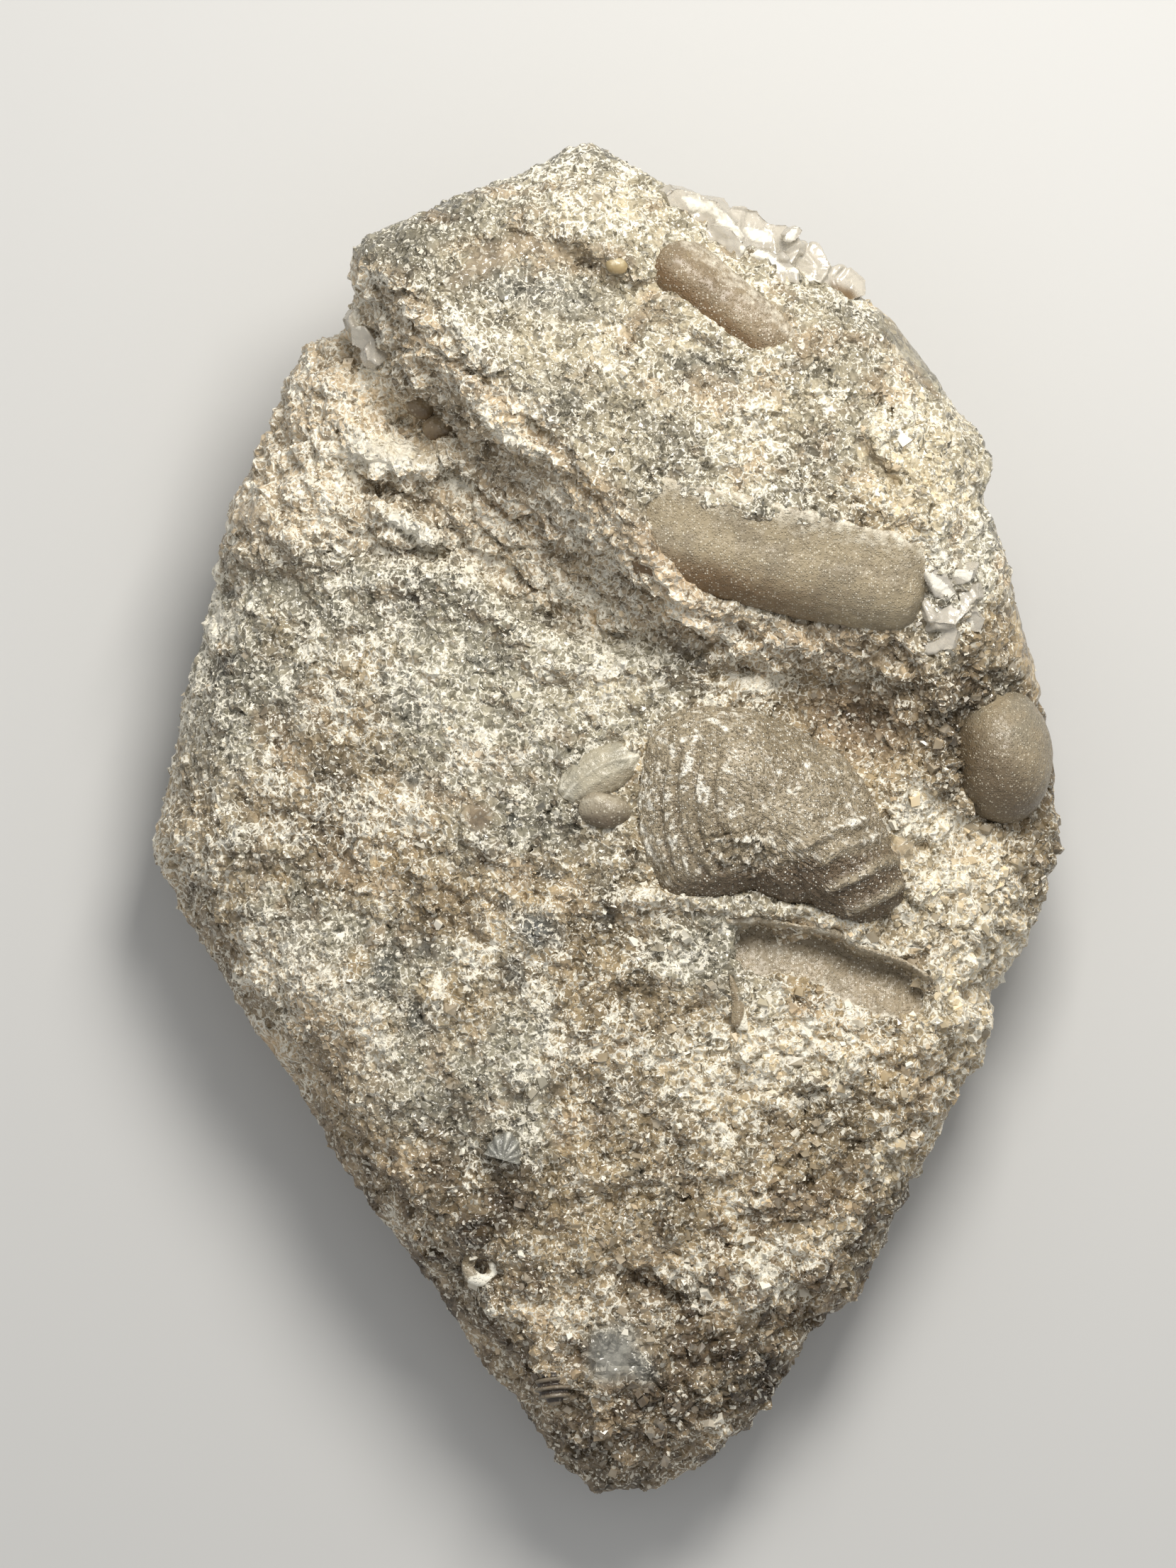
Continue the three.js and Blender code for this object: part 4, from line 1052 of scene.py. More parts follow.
def modelArchedShell(shape=archedShellShape):
    outline = np.array(footprints["archedShell"])
    middle = outline.mean(axis=0)
    shell = addPrism("archedShell", outline, middle, shape["height"], shape["thickness"])
    points = pointsOf(shell)
    points[:, :2] = cornersOf(points, middle + (outline - middle) * shape["spread"], middle)
    setPoints(shell, points)
    voxelRemesh(shell, shape["cell"])
    points = pointsOf(shell)
    places, level = points[:, :2], levelIn(points)
    below = -beside(places, shape["rim"])  # how far on the near side of the rim
    surface = reliefAt(places, bedded=False) - 0.12
    hollow = shape["hollowDepth"] * smoothly(below, 0.02, 0.45) * (1 - 0.8 * smoothly(below, 0.8, 4.2))
    surface += shape["rimHeight"] * nearLine(below, shape["rimWidth"]) - hollow * (below > 0)
    points[:, 2] = surface - shape["thickness"] * (1 - level)
    setPoints(shell, points)
    sand(shell, *shape["sanding"])
    shadeSmooth(shell)
    # painted shadow just under the rim, fading out further down the hollow
    aged = 0.65 * smoothly(below, 0.1, 0.5) - 0.5 * smoothly(below, 0.9, 2.4)
    edge = nearLine(below, 0.3) * smoothly(softNoise(points, 0.5, 83), -0.5, 0.4)
    crystal = within(places, (10.35, -7.6), (0.5, 0.4), -20, 4)
    rough = smoothly(-depthIn(places, footprints["archedShell"]), -0.8, 0.1) * (below > 1)
    frosted = 0.4 * edge + 0.35 * crystal + 0.6 * rough
    paint(shell, aged=np.clip(aged, 0, 1), frosted=np.clip(frosted, 0, 1))
    return shell


ovalShellShape = {
    "middle": (-0.45, 3.0, 17.25),
    "radii": (2.7, 1.4, 0.9),
    "turn": 29,
    "ridges": [(-0.35, 0.5), (0.3, 1), (0.85, 0.7)],  # how far off its middle line, and how strong
    "ridgeHeight": 0.07,
    "ridgeWidth": 0.14,
    "sanding": (0.08, 0.04, 91),
}


def modelOvalShell(shape=ovalShellShape):
    shell = addBall("ovalShell", shape["middle"], shape["radii"], shape["turn"], 96, 64)
    there = turned(pointsOf(shell)[:, :2], shape["middle"][:2], shape["turn"])
    bent = there[:, 1] + 0.09 * there[:, 0] ** 2
    width = shape["ridgeWidth"]
    ridges = sum(strength * nearLine(bent - offset, width) for offset, strength in shape["ridges"])
    swell(shell, shape["ridgeHeight"] * ridges)
    sand(shell, *shape["sanding"])
    ends = smoothly(np.abs(there[:, 0]), 1.3, 2.3)
    paint(
        shell,
        aged=smoothly(-there[:, 1], 0.1, 0.9) * 0.5,
        frosted=np.clip(0.25 * ridges + 0.3 * ends, 0, 1),
    )
    return shell


# Small rounded beads: the middle, the radii and the turn in degrees
beads = {
    "ovalBead": ((-0.2, 0.75, 17.35), (1.62, 1.12, 1.05), -8),
    "amberBead": ((0.62, 33.1, 24.4), (0.66, 0.52, 0.5), -15),
    "brownBeadUpper": ((-11.2, 24.8, 18.1), (0.85, 0.65, 0.6), -20),
    "brownBeadLower": ((-10.05, 23.5, 17.95), (1.05, 0.92, 0.75), -12),
}


def modelBead(name):
    middle, radii, degrees = beads[name]
    bead = addBall(name, middle, radii, degrees, 48, 32)
    seed = 101 + list(beads).index(name)
    points = pointsOf(bead)
    swell(bead, 0.14 * radii[1] * softNoise(points, 0.9, seed) + 0.04 * softNoise(points, 0.3, seed))
    shadeSmooth(bead)
    # painted shade: darker on the bead's south side, away from the light
    low = smoothly(middle[1] - pointsOf(bead)[:, 1], -radii[1] * 0.6, radii[1])
    paint(bead, aged=low, frosted=0.25 * (1 - low))
    return bead


sliverShape = {
    "outline": [
        (7.3, -9.0), (7.35, -9.8), (7.5, -10.7), (7.42, -12.1), (8.0, -12.45), (8.46, -12.45),
        (8.4, -11.7), (8.25, -11.0), (7.9, -10.0), (7.55, -9.3),
    ],
    "thickness": 1.0,
    "height": 16,  # of the middle of the block it starts from
    "rise": 0.3,
    "cell": 0.07,
}


def modelSliver(shape=sliverShape):
    outline = np.array(shape["outline"])
    middle = outline.mean(axis=0)
    sliver = addPrism("shellSliver", outline, middle, shape["height"], shape["thickness"])
    points = pointsOf(sliver)
    points[:, :2] = cornersOf(points, outline, middle)
    setPoints(sliver, points)
    voxelRemesh(sliver, shape["cell"])
    points = pointsOf(sliver)
    level = levelIn(points)
    inside = depthIn(points[:, :2], shape["outline"])
    surface = reliefAt(points[:, :2]).mean() + shape["rise"] + 0.15 * smoothly(inside, 0, 0.4)
    points[:, 2] = surface - shape["thickness"] * (1 - level)
    setPoints(sliver, points)
    shadeSmooth(sliver)
    right = smoothly(points[:, 0] + 0.24 * (points[:, 1] + 11) ** 2, 8.15, 8.4)
    paint(sliver, aged=0.4 * (1 - right), frosted=right)
    return sliver


# Three small fossils on the lower face
ribbedShape = {
    "middle": (-3.2, -33.9, 12.3),
    "radii": (1.05, 1.0, 0.75),
    "turn": 6,
    "spacing": 0.5,  # from rib to rib
    "ribHeight": 0.13,
}
fanShape = {
    "middle": (-6.3, -20.2, 15.2),
    "radii": (1.1, 1.7, 0.7),
    "turn": -15,
    "ribs": 7,
    "ribHeight": 0.05,
    "sanding": (0.08, 0.03, 111),
}
ringShape = {"middle": (-7.5, -26.6, 12.9), "radius": 0.85, "tube": 0.36}


def modelRibbedFragment(shape=ribbedShape):
    fragment = addBall("ribbedFragment", shape["middle"], shape["radii"], shape["turn"], 64, 64)
    there = turned(pointsOf(fragment)[:, :2], shape["middle"][:2], shape["turn"])
    wave = np.cos((there[:, 1] + 0.1 * there[:, 0] ** 2) / shape["spacing"] * 2 * math.pi)
    swell(fragment, shape["ribHeight"] * wave)
    shadeSmooth(fragment)
    paint(fragment, aged=smoothly(wave, 0.6, -0.4), frosted=0.15 * smoothly(wave, 0.5, 1))
    return fragment


def modelFan(shape=fanShape):
    fan = addBall("fanShell", shape["middle"], shape["radii"], shape["turn"], 96, 48)
    towards = math.radians(shape["turn"] + 90)
    way = (math.cos(towards), math.sin(towards), 0)
    cut(fan, Vector(shape["middle"]) * mm, way, clear_inner=True, use_fill=True)
    there = turned(pointsOf(fan)[:, :2], shape["middle"][:2], shape["turn"])
    ribs = np.cos(np.arctan2(there[:, 0], there[:, 1] + 0.15) * shape["ribs"] * 2)
    fade = smoothly(np.linalg.norm(there, axis=1), 0.2, 0.9)
    swell(fan, shape["ribHeight"] * ribs * fade)
    sand(fan, *shape["sanding"])
    shadeSmooth(fan)
    paint(fan, aged=smoothly(ribs, 0.5, -0.8) * 0.6, frosted=0.4 * smoothly(ribs, 0.0, 1) * fade)
    return fan


def modelRing(shape=ringShape):
    deselectAll()
    bpy.ops.mesh.primitive_torus_add(
        location=Vector(shape["middle"]) * mm,
        major_radius=shape["radius"] * mm,
        minor_radius=shape["tube"] * mm,
        major_segments=64,
        minor_segments=20,
    )
    ring = takeNew("ringFossil")
    points = pointsOf(ring)
    swell(ring, 0.16 * softNoise(points, 0.6, 121) + 0.06 * softNoise(points, 0.25, 122))
    shadeSmooth(ring)
    upper = smoothly(points[:, 1] - shape["middle"][1], -0.2, 0.5)
    paint(
        ring,
        aged=np.clip(upper + 0.3 * softNoise(points, 0.7, 123), 0, 1),
        frosted=0.9 * (1 - upper) * smoothly(softNoise(points, 0.5, 124), -0.6, 0.2),
    )
    return ring


# Clusters of crystals grown together: blocks with their middle, how far it stands over the stone, half
# their sides and their turn, then the spots that are frosted or brown
clusters = {
    "calciteCrust": {
        "blocks": [
            ((4.6, 36.9), 0.7, (1.7, 0.9, 0.8), -35), ((6.2, 36.1), 0.9, (1.9, 1.3, 0.8), -33),
            ((8.2, 35.2), 1.0, (2.0, 1.5, 0.8), -28), ((10.1, 34.3), 1.0, (1.9, 1.5, 0.9), -30),
            ((11.0, 35.1), 1.3, (0.8, 0.45, 0.5), 30), ((11.9, 33.3), 0.9, (1.8, 1.3, 0.8), -32),
            ((14.0, 32.1), 0.8, (1.6, 1.1, 0.8), -20), ((7.2, 34.7), 0.3, (1.6, 0.9, 0.6), -33),
            ((9.9, 33.1), 0.3, (1.8, 0.9, 0.6), -30),
        ],
        "sides": 7,  # of each block, with one side fewer on every other block
        "cell": 0.09,  # mesh size
        "frosted": [
            ((5.3, 36.9), (0.9, 0.4), -20, 1.0), ((6.9, 35.9), (1.4, 0.35), -32, 0.9),
            ((9.1, 35.2), (0.9, 0.35), -25, 1.0), ((11.1, 35.2), (0.4, 0.3), 0, 1.0),
            ((9.2, 33.8), (1.6, 0.35), -28, 0.9), ((12.0, 32.5), (1.6, 0.3), -28, 0.7),
        ],
        "aged": [((14.2, 31.5), (0.9, 0.55), -20, 1.0)],
    },
    "endCrystals": {
        "blocks": [
            ((19.6, 14.4), -0.45, (1.5, 0.8, 0.8), -45), ((21.0, 14.8), -0.45, (1.3, 0.6, 0.7), 15),
            ((20.1, 12.7), -0.5, (1.6, 1.4, 0.9), 20), ((20.0, 11.0), -0.5, (1.4, 1.1, 0.9), 5),
            ((21.6, 12.2), -0.5, (1.0, 0.8, 0.7), -20), ((21.6, 13.6), -0.5, (1.0, 0.8, 0.7), 35),
        ],
        "sides": 6,
        "cell": 0.09,
        "frosted": [
            ((19.7, 14.2), (1.1, 0.35), -45, 1.0), ((21.1, 14.8), (0.8, 0.3), 15, 0.9),
            ((21.4, 12.0), (0.6, 0.4), 0, 0.6),
        ],
        "aged": [],
    },
    "notchCrystals": {
        "blocks": [
            ((-15.0, 30.0), 0.9, (0.8, 0.8, 0.8), 20), ((-14.4, 29.0), 0.6, (0.9, 0.9, 0.8), -25),
            ((-14.0, 27.9), 0.5, (0.75, 0.9, 0.7), 10),
        ],
        "sides": 6,
        "cell": 0.09,
        "frosted": [((-14.8, 29.9), (0.3, 0.6), 20, 0.8)],
        "aged": [],
    },
}


clusterSkin = {
    "facets": (2.0, 131, 0.18, 0.14, 0.2),  # size, seed, tilt, lift and groove of its broken crystals
    "grain": (0.04, 0.3, 132),  # how far its grain stands out, its size and seed
    "sunk": 0.12,
}


def modelCluster(name, skin=clusterSkin):
    shape = clusters[name]
    heights = reliefAt(np.array([middle for middle, *rest in shape["blocks"]]))
    deselectAll()
    blocks = []
    for number, ((middle, lift, radii, degrees), height) in enumerate(zip(shape["blocks"], heights)):
        bpy.ops.mesh.primitive_cylinder_add(
            vertices=shape["sides"] - number % 2,
            radius=1,
            depth=1.7,
            location=Vector((*middle, height + lift)) * mm,
            rotation=(0.35 * math.sin(2 * number), 0.35 * math.cos(3 * number), math.radians(degrees)),
            scale=Vector(radii) * mm,
        )
        blocks.append(bpy.context.object)
    for block in blocks:
        block.select_set(True)
    bpy.ops.object.join()
    cluster = takeNew(name)
    voxelRemesh(cluster, shape["cell"])
    points = pointsOf(cluster)
    height, size, seed = skin["grain"]
    rise = brokenFacets(points, *skin["facets"]) + height * softNoise(points, size, seed)
    swell(cluster, rise - skin["sunk"])
    shadeSmooth(cluster)
    paint(cluster, **{tint: paintedAt(points, shape[tint]) for tint in ("frosted", "aged")})
    return cluster


# Crumbs and blocks of calcite scattered over the stone, joined into a few meshes

grains = {
    # the shape, how many, the smallest and largest size, and how deep they sink
    "calciteBlocks": {"kind": "block", "count": 2600, "sizes": (0.22, 0.54), "sunk": 0.65, "seed": 201},
    "calciteCrumbsA": {"kind": "shard", "count": 28000, "sizes": (0.11, 0.25), "sunk": 0.4, "seed": 202},
    "calciteCrumbsB": {"kind": "shard", "count": 30000, "sizes": (0.08, 0.18), "sunk": 0.3, "seed": 203},
}


# The corners and triangles of one grain, standing a little off its own middle.
def modelGrain(kind):
    deselectAll()
    if kind == "block":
        bpy.ops.mesh.primitive_cube_add(size=1, location=(0.3, 0.22, -0.12))
    else:
        bpy.ops.mesh.primitive_cone_add(
            vertices=4, radius1=0.75, radius2=0, depth=1.1, location=(0.1, 0, -0.15)
        )
    grain = takeNew(kind)
    bpy.ops.object.mode_set(mode="EDIT")
    bpy.ops.mesh.select_all(action="SELECT")
    bpy.ops.mesh.quads_convert_to_tris()
    bpy.ops.object.mode_set(mode="OBJECT")
    corners = np.array([vertex.co[:] for vertex in grain.data.vertices])
    faces = np.array([polygon.vertices[:] for polygon in grain.data.polygons])
    bpy.data.objects.remove(grain)
    return corners, faces


# Spots over a mesh, more where the weight is high: the places, the ways out there and each spot's corners.
def scatteredOver(piece, count, draw, weigh):
    piece.data.calc_loop_triangles()
    corners = readAll(piece.data.loop_triangles, "vertices", 3, np.int32)
    points = pointsOf(piece)[corners]
    ways = np.cross(points[:, 1] - points[:, 0], points[:, 2] - points[:, 0])
    areas = np.linalg.norm(ways, axis=1) / 2
    ways = ways / (2 * areas + 1e-12)[:, None]
    weights = areas * weigh(points.mean(axis=1), ways)
    chosen = draw.choice(len(areas), count, p=weights / weights.sum())
    one, two = draw.random(count), draw.random(count)
    over = one + two > 1
    one[over], two[over] = 1 - one[over], 1 - two[over]
    a, b, c = points[chosen].swapaxes(0, 1)
    places = a + one[:, None] * (b - a) + two[:, None] * (c - a)
    return places, ways[chosen], corners[chosen]


# As many turns in space, each a matrix.
def drawTurns(draw, count):
    turns = draw.normal(size=(4, count))
    w, x, y, z = turns / np.sqrt((turns**2).sum(axis=0))
    rows = [
        [1 - 2 * (y * y + z * z), 2 * (x * y - z * w), 2 * (x * z + y * w)],
        [2 * (x * y + z * w), 1 - 2 * (x * x + z * z), 2 * (y * z - x * w)],
        [2 * (x * z - y * w), 2 * (y * z + x * w), 1 - 2 * (x * x + y * y)],
    ]
    return np.stack([np.stack(row, axis=-1) for row in rows], axis=1)


# How much of the stone's skin is crumbly at a place.
def crumbliness(points, ways, large):
    smooth = paintedAt(points, stonePatches["smoothed"])
    for outline in footprints.values():
        edge = depthIn(points[:, :2], outline) + 0.4 * layeredNoise(points, 1.2, 211)
        smooth = np.maximum(smooth, smoothly(edge, 0.15, 0.4))
    amount = (1 - smooth) * smoothly(points[:, 2], 1.0, 2.0)
    amount *= 0.15 + 0.85 * smoothly(ways[:, 2], 0.0, 0.6)
    amount *= 0.12 + 0.88 * smoothly(depthIn(points[:, :2], stone["outline"]), 0.2, 1.6)
    if large:
        amount *= 0.08 + smoothly(points[:, 0] - 0.5 * points[:, 1], -2, 18)
        return amount * (0.4 + 0.6 * smoothly(ways[:, 2], 0.2, 0.6))
    # most crumbs lie in drifts and along the edges of larger crystals
    away, numbers, edge = crystalCells(points, 1.15, 45)
    drifts = smoothly(layeredNoise(points, 1.0, 41, 4, 0.8), -0.2, 0.3)
    return amount * (0.15 + 0.75 * drifts + 1.1 * np.exp(-((edge / 0.13) ** 2)))


def modelGrains(name, onto):
    shape = grains[name]
    draw = np.random.default_rng(shape["seed"])
    count = shape["count"]
    large = shape["kind"] == "block"
    places, ways, roots = scatteredOver(onto, count, draw, lambda p, w: crumbliness(p, w, large))
    corners, faces = modelGrain(shape["kind"])
    low, high = shape["sizes"]
    sizes = low + (high - low) * draw.random(count) ** 2.2
    stretch = sizes[:, None] * (0.75 + 0.5 * draw.random((count, 3)))
    turns = drawTurns(draw, count)
    broken = corners[None] + 0.5 * (draw.random((count, *corners.shape)) - 0.5)
    placed = np.einsum("nij,nkj->nki", turns, broken * stretch[:, None, :])
    placed += (places - ways * (shape["sunk"] * sizes)[:, None])[:, None, :]
    offsets = (np.arange(count) * len(corners))[:, None, None]
    mesh = bpy.data.meshes.new(name)
    allFaces = (faces[None] + offsets).reshape(-1, faces.shape[1])
    mesh.from_pydata((placed.reshape(-1, 3) * mm).astype(np.float32), [], allFaces)
    crumbs = bpy.data.objects.new(name, mesh)
    bpy.context.scene.collection.objects.link(crumbs)
    # on the bake map each grain has a small square of its own
    across = math.ceil(math.sqrt(count))
    squares = np.stack([np.arange(count) % across, np.arange(count) // across], axis=1) + 0.5
    inSquare = np.array([(-0.32, -0.3), (0.32, -0.3), (0, 0.34)])
    addBakeMap(crumbs, (squares[:, None, None] + np.tile(inSquare, (len(faces), 1, 1))) / across)
    tints = tintsAt(places, ways, numbersOf(onto, "low")[roots].mean(axis=1))
    chance = draw.random(count)
    whiter = 0.08 if large else 0.25 + 0.3 * np.clip(tints["lighter"], 0, 1)
    dark = np.maximum(np.maximum(0.75 * tints["stainedAndShaded"], tints["slaty"]), tints["umber"])
    white = chance < whiter * (1 - dark) + 0.5 * tints["frosted"]
    tints["frosted"] = np.where(white, 0.6 + 0.4 * draw.random(count), 0.1)
    tints["tone"] = draw.random(count)
    paint(crumbs, **{tint: np.repeat(amounts, len(corners)) for tint, amounts in tints.items()})
    return crumbs


# Materials

def addNode(tree, kind, inputs=None, **settings):
    node = tree.nodes.new("ShaderNode" + kind)
    for name, value in settings.items():
        setattr(node, name, value)
    for name, value in (inputs or {}).items():
        if isinstance(value, bpy.types.NodeSocket):
            tree.links.new(value, node.inputs[name])
        else:
            node.inputs[name].default_value = value
    return node


def calculate(tree, operation, *values, clamp=False):
    return addNode(tree, "Math", dict(enumerate(values)), operation=operation, use_clamp=clamp).outputs[0]


def times(tree, value, factor):
    return calculate(tree, "MULTIPLY", value, factor)


# The value times a factor, plus another value.
def scaled(tree, value, factor, plus):
    return calculate(tree, "MULTIPLY_ADD", value, factor, plus)


def vectors(tree, operation, first, second):
    return addNode(tree, "VectorMath", {0: first, 1: second}, operation=operation).outputs


def between(tree, value, low, high):
    inputs = {"Value": value, "From Min": low, "From Max": high}
    return addNode(tree, "MapRange", inputs, interpolation_type="SMOOTHSTEP").outputs["Result"]


def mixed(tree, share, first, second, blend="MIX"):
    inputs = {"Factor": share, 6: first, 7: second}
    return addNode(tree, "Mix", inputs, data_type="RGBA", blend_type=blend).outputs[2]


def cloudNode(tree, vector, size, detail, roughness=0.5):
    inputs = {"Vector": vector, "Scale": 1 / size, "Detail": detail, "Roughness": roughness}
    return addNode(tree, "TexNoise", inputs).outputs


def clouds(tree, vector, size, detail, roughness=0.5):
    return cloudNode(tree, vector, size, detail, roughness)[0]


def painted(tree, name):
    return addNode(tree, "Attribute", attribute_name=name).outputs["Fac"]


def rgb(red, green, blue):
    return red, green, blue, 1


def newGroup(name, inputs, outputs):
    group = bpy.data.node_groups.new(name, "ShaderNodeTree")
    for inOut, sockets in (("INPUT", inputs), ("OUTPUT", outputs)):
        for socket, kind in sockets.items():
            group.interface.new_socket(socket, in_out=inOut, socket_type="NodeSocket" + kind)
    return group, group.nodes.new("NodeGroupInput").outputs, group.nodes.new("NodeGroupOutput").inputs


def placeGroup(tree, group, **inputs):
    return addNode(tree, "Group", inputs, node_tree=group).outputs


def connect(tree, made, **results):
    for name, value in results.items():
        tree.links.new(value, made[name])


halfway = (0.5, 0.5, 0.5)  # the middle of a noise's colours


# Packed crystals of one size: each has its own tilted facet and tone, and a frosted edge.
def makeCrystalGrain():
    group, given, made = newGroup(
        "crystalGrain",
        {"Vector": "Vector", "Size": "Float"},
        {"Facet": "Float", "Edge": "Float", "Tone": "Float", "Chance": "Float"},
    )
    scale = calculate(group, "DIVIDE", 1, given["Size"])
    shared = {"Vector": given["Vector"], "Scale": scale}
    cells = addNode(group, "TexVoronoi", shared, feature="F1").outputs
    edges = addNode(group, "TexVoronoi", shared, feature="DISTANCE_TO_EDGE").outputs
    away = vectors(group, "SUBTRACT", given["Vector"], cells["Position"])[0]
    tilt = vectors(group, "SUBTRACT", cells["Color"], halfway)[0]
    facet = vectors(group, "DOT_PRODUCT", away, tilt)["Value"]
    parts = addNode(group, "SeparateColor", {0: cells["Color"]}).outputs
    frostedEdge = between(group, edges["Distance"], 0.16, 0.0)
    connect(group, made, Facet=facet, Edge=frostedEdge, Tone=parts[0], Chance=parts[1])
    return group


crystalGrain = makeCrystalGrain()

limestoneLook = {
    "oliveGrain": rgb(0.305, 0.282, 0.21),
    "tanGrain": rgb(0.38, 0.295, 0.175),
    "yellowGrain": rgb(0.58, 0.505, 0.35),
    "brownGrain": rgb(0.39, 0.3, 0.195),
    # the slate and umber colours also carry painted shade in creases, grooves and hollows
    "slateGrain": rgb(0.085, 0.095, 0.095),
    "umberGrain": rgb(0.12, 0.084, 0.05),
    "ochre": rgb(0.47, 0.3, 0.12),
    "glassyGrain": rgb(0.37, 0.36, 0.315),
    "frost": rgb(0.88, 0.835, 0.71),
    "darkestTone": 0.48,
    "lightestTone": 1.45,
    "patchContrast": 1.2,
    "crumpled": (0.45, 1.0),  # how far its crystals are pushed out of shape, and over what size
    "mediumSize": 0.6,  # of the crystals that show in its skin
    "fineSize": 0.22,
    # how much each tint and each crystal edge adds to the frost, and where the frost starts and is full
    "frostOfTints": {"frosted": 0.42, "stainedAndShaded": -0.09, "umber": -0.2, "slaty": -0.12},
    "frostOfEdges": (0.32, 0.2),
    "frostSpan": (0.78, 0.95),
    "facetRelief": (1.0, 1.3),  # of the medium and the fine crystals
    "gloss": (0.2, 0.35),  # the roughness of clear crystal, and what frost adds
    "crumbGloss": (0.22, 0.32),
}


# The stone's colour from its painted tints, a tone for each crystal and its frost.
def makeStoneColour(look=limestoneLook):
    group, given, made = newGroup("stoneColour", {"Tone": "Float", "Frost": "Float"}, {"Color": "Color"})
    colour = mixed(group, painted(group, "tanned"), look["oliveGrain"], look["tanGrain"])
    for tint, grain in (
        ("yellowed", "yellowGrain"),
        ("stainedAndShaded", "brownGrain"),
        ("slaty", "slateGrain"),
        ("umber", "umberGrain"),
        ("glassy", "glassyGrain"),
    ):
        colour = mixed(group, painted(group, tint), colour, look[grain])
    tone = scaled(group, given["Tone"], look["lightestTone"] - look["darkestTone"], look["darkestTone"])
    contrast = look["patchContrast"]
    lighter = scaled(group, painted(group, "lighter"), contrast, 1 - contrast / 2)
    tone = times(group, tone, calculate(group, "MAXIMUM", lighter, 0.45))
    toned = addNode(group, "CombineColor", {0: tone, 1: tone, 2: tone}).outputs[0]
    colour = mixed(group, 1.0, colour, toned, "MULTIPLY")
    colour = mixed(group, painted(group, "ochreStained"), colour, look["ochre"])
    connect(group, made, Color=mixed(group, given["Frost"], colour, look["frost"]))
    return group


stoneColour = makeStoneColour()


# Fine bright flecks, partly white crystal and partly painted glints, and a sanded height, as on a worn cast.
def makeSandedSparkle():
    group, given, made = newGroup(
        "sandedSparkle", {"Vector": "Vector", "Size": "Float"}, {"Fleck": "Float", "Height": "Float"}
    )
    scale = calculate(group, "DIVIDE", 1, given["Size"])
    cells = addNode(group, "TexVoronoi", {"Vector": given["Vector"], "Scale": scale}, feature="F1").outputs
    parts = addNode(group, "SeparateColor", {0: cells["Color"]}).outputs
    chosen = between(group, parts[0], 0.72, 0.95)
    middle = between(group, cells["Distance"], 0.6, 0.25)
    connect(group, made, Fleck=times(group, chosen, middle), Height=times(group, parts[1], middle))
    return group


sandedSparkle = makeSandedSparkle()


def newMaterial(name):
    material = bpy.data.materials.new(name)
    material.use_nodes = True
    material.node_tree.nodes.clear()
    return material


# A new material, its tree and the place on the piece in millimetres.
def startMaterial(name):
    material = newMaterial(name)
    tree = material.node_tree
    there = addNode(tree, "TexCoord").outputs["Object"]
    place = addNode(tree, "VectorMath", {0: there, "Scale": 1 / mm}, operation="SCALE").outputs[0]
    return material, tree, place


# Shifts each place a little, so that crystal edges aren't straight.
def crumple(tree, place, amount, size):
    swirl = cloudNode(tree, place, size, 2)["Color"]
    centred = vectors(tree, "SUBTRACT", swirl, halfway)[0]
    shift = addNode(tree, "VectorMath", {0: centred, "Scale": amount * 2}, operation="SCALE").outputs[0]
    return vectors(tree, "ADD", place, shift)[0]


def finishMaterial(material, colour, roughness, height=None, volume=None, **constants):
    tree = material.node_tree
    inputs = {"Base Color": colour, "Roughness": roughness}
    if height is not None:
        bump = addNode(tree, "Bump", {"Height": height, "Distance": mm, "Strength": 1.0})
        inputs["Normal"] = bump.outputs[0]
    inputs.update({name.replace("_", " "): value for name, value in constants.items()})
    shader = addNode(tree, "BsdfPrincipled", inputs)
    surface = {"Surface": shader.outputs[0]}
    if volume is not None:
        surface["Volume"] = volume
    addNode(tree, "OutputMaterial", surface)
    return material


def makeLimestone(look=limestoneLook):
    material, tree, place = startMaterial("sugaryLimestone")
    crumpled = crumple(tree, place, *look["crumpled"])
    medium = placeGroup(tree, crystalGrain, Vector=crumpled, Size=look["mediumSize"])
    fine = placeGroup(tree, crystalGrain, Vector=crumpled, Size=look["fineSize"])
    # frost: crumbled crystal edges, in drifts
    drifts = scaled(tree, clouds(tree, place, 0.7, 5, 0.75), 0.75, 0.1)
    broad = painted(tree, "lighter")
    frost = scaled(tree, broad, 0.3, calculate(tree, "SUBTRACT", drifts, 0.15))
    for tint, share in look["frostOfTints"].items():
        frost = scaled(tree, painted(tree, tint), share, frost)
    for crystals, share in zip((medium, fine), look["frostOfEdges"]):
        frost = scaled(tree, crystals["Edge"], share, frost)
    frost = between(tree, frost, *look["frostSpan"])
    # white specks: frosted crystal, partly painted glints
    spark = between(tree, fine["Chance"], 0.84, 0.92)
    frost = calculate(tree, "MAXIMUM", frost, times(tree, spark, 0.75))
    smooth = painted(tree, "smoothed")
    frost = times(tree, frost, scaled(tree, smooth, -0.75, 1))
    tone = scaled(tree, medium["Tone"], 0.6, times(tree, fine["Tone"], 0.3))
    colour = placeGroup(tree, stoneColour, Tone=tone, Frost=frost)["Color"]
    rough = scaled(tree, smooth, -0.8, 1)
    mediumRelief, fineRelief = look["facetRelief"]
    height = scaled(tree, medium["Facet"], mediumRelief, times(tree, fine["Facet"], fineRelief))
    height = times(tree, height, rough)
    glossy, frosty = look["gloss"]
    return finishMaterial(material, colour, scaled(tree, frost, frosty, glossy), height, IOR=1.55)


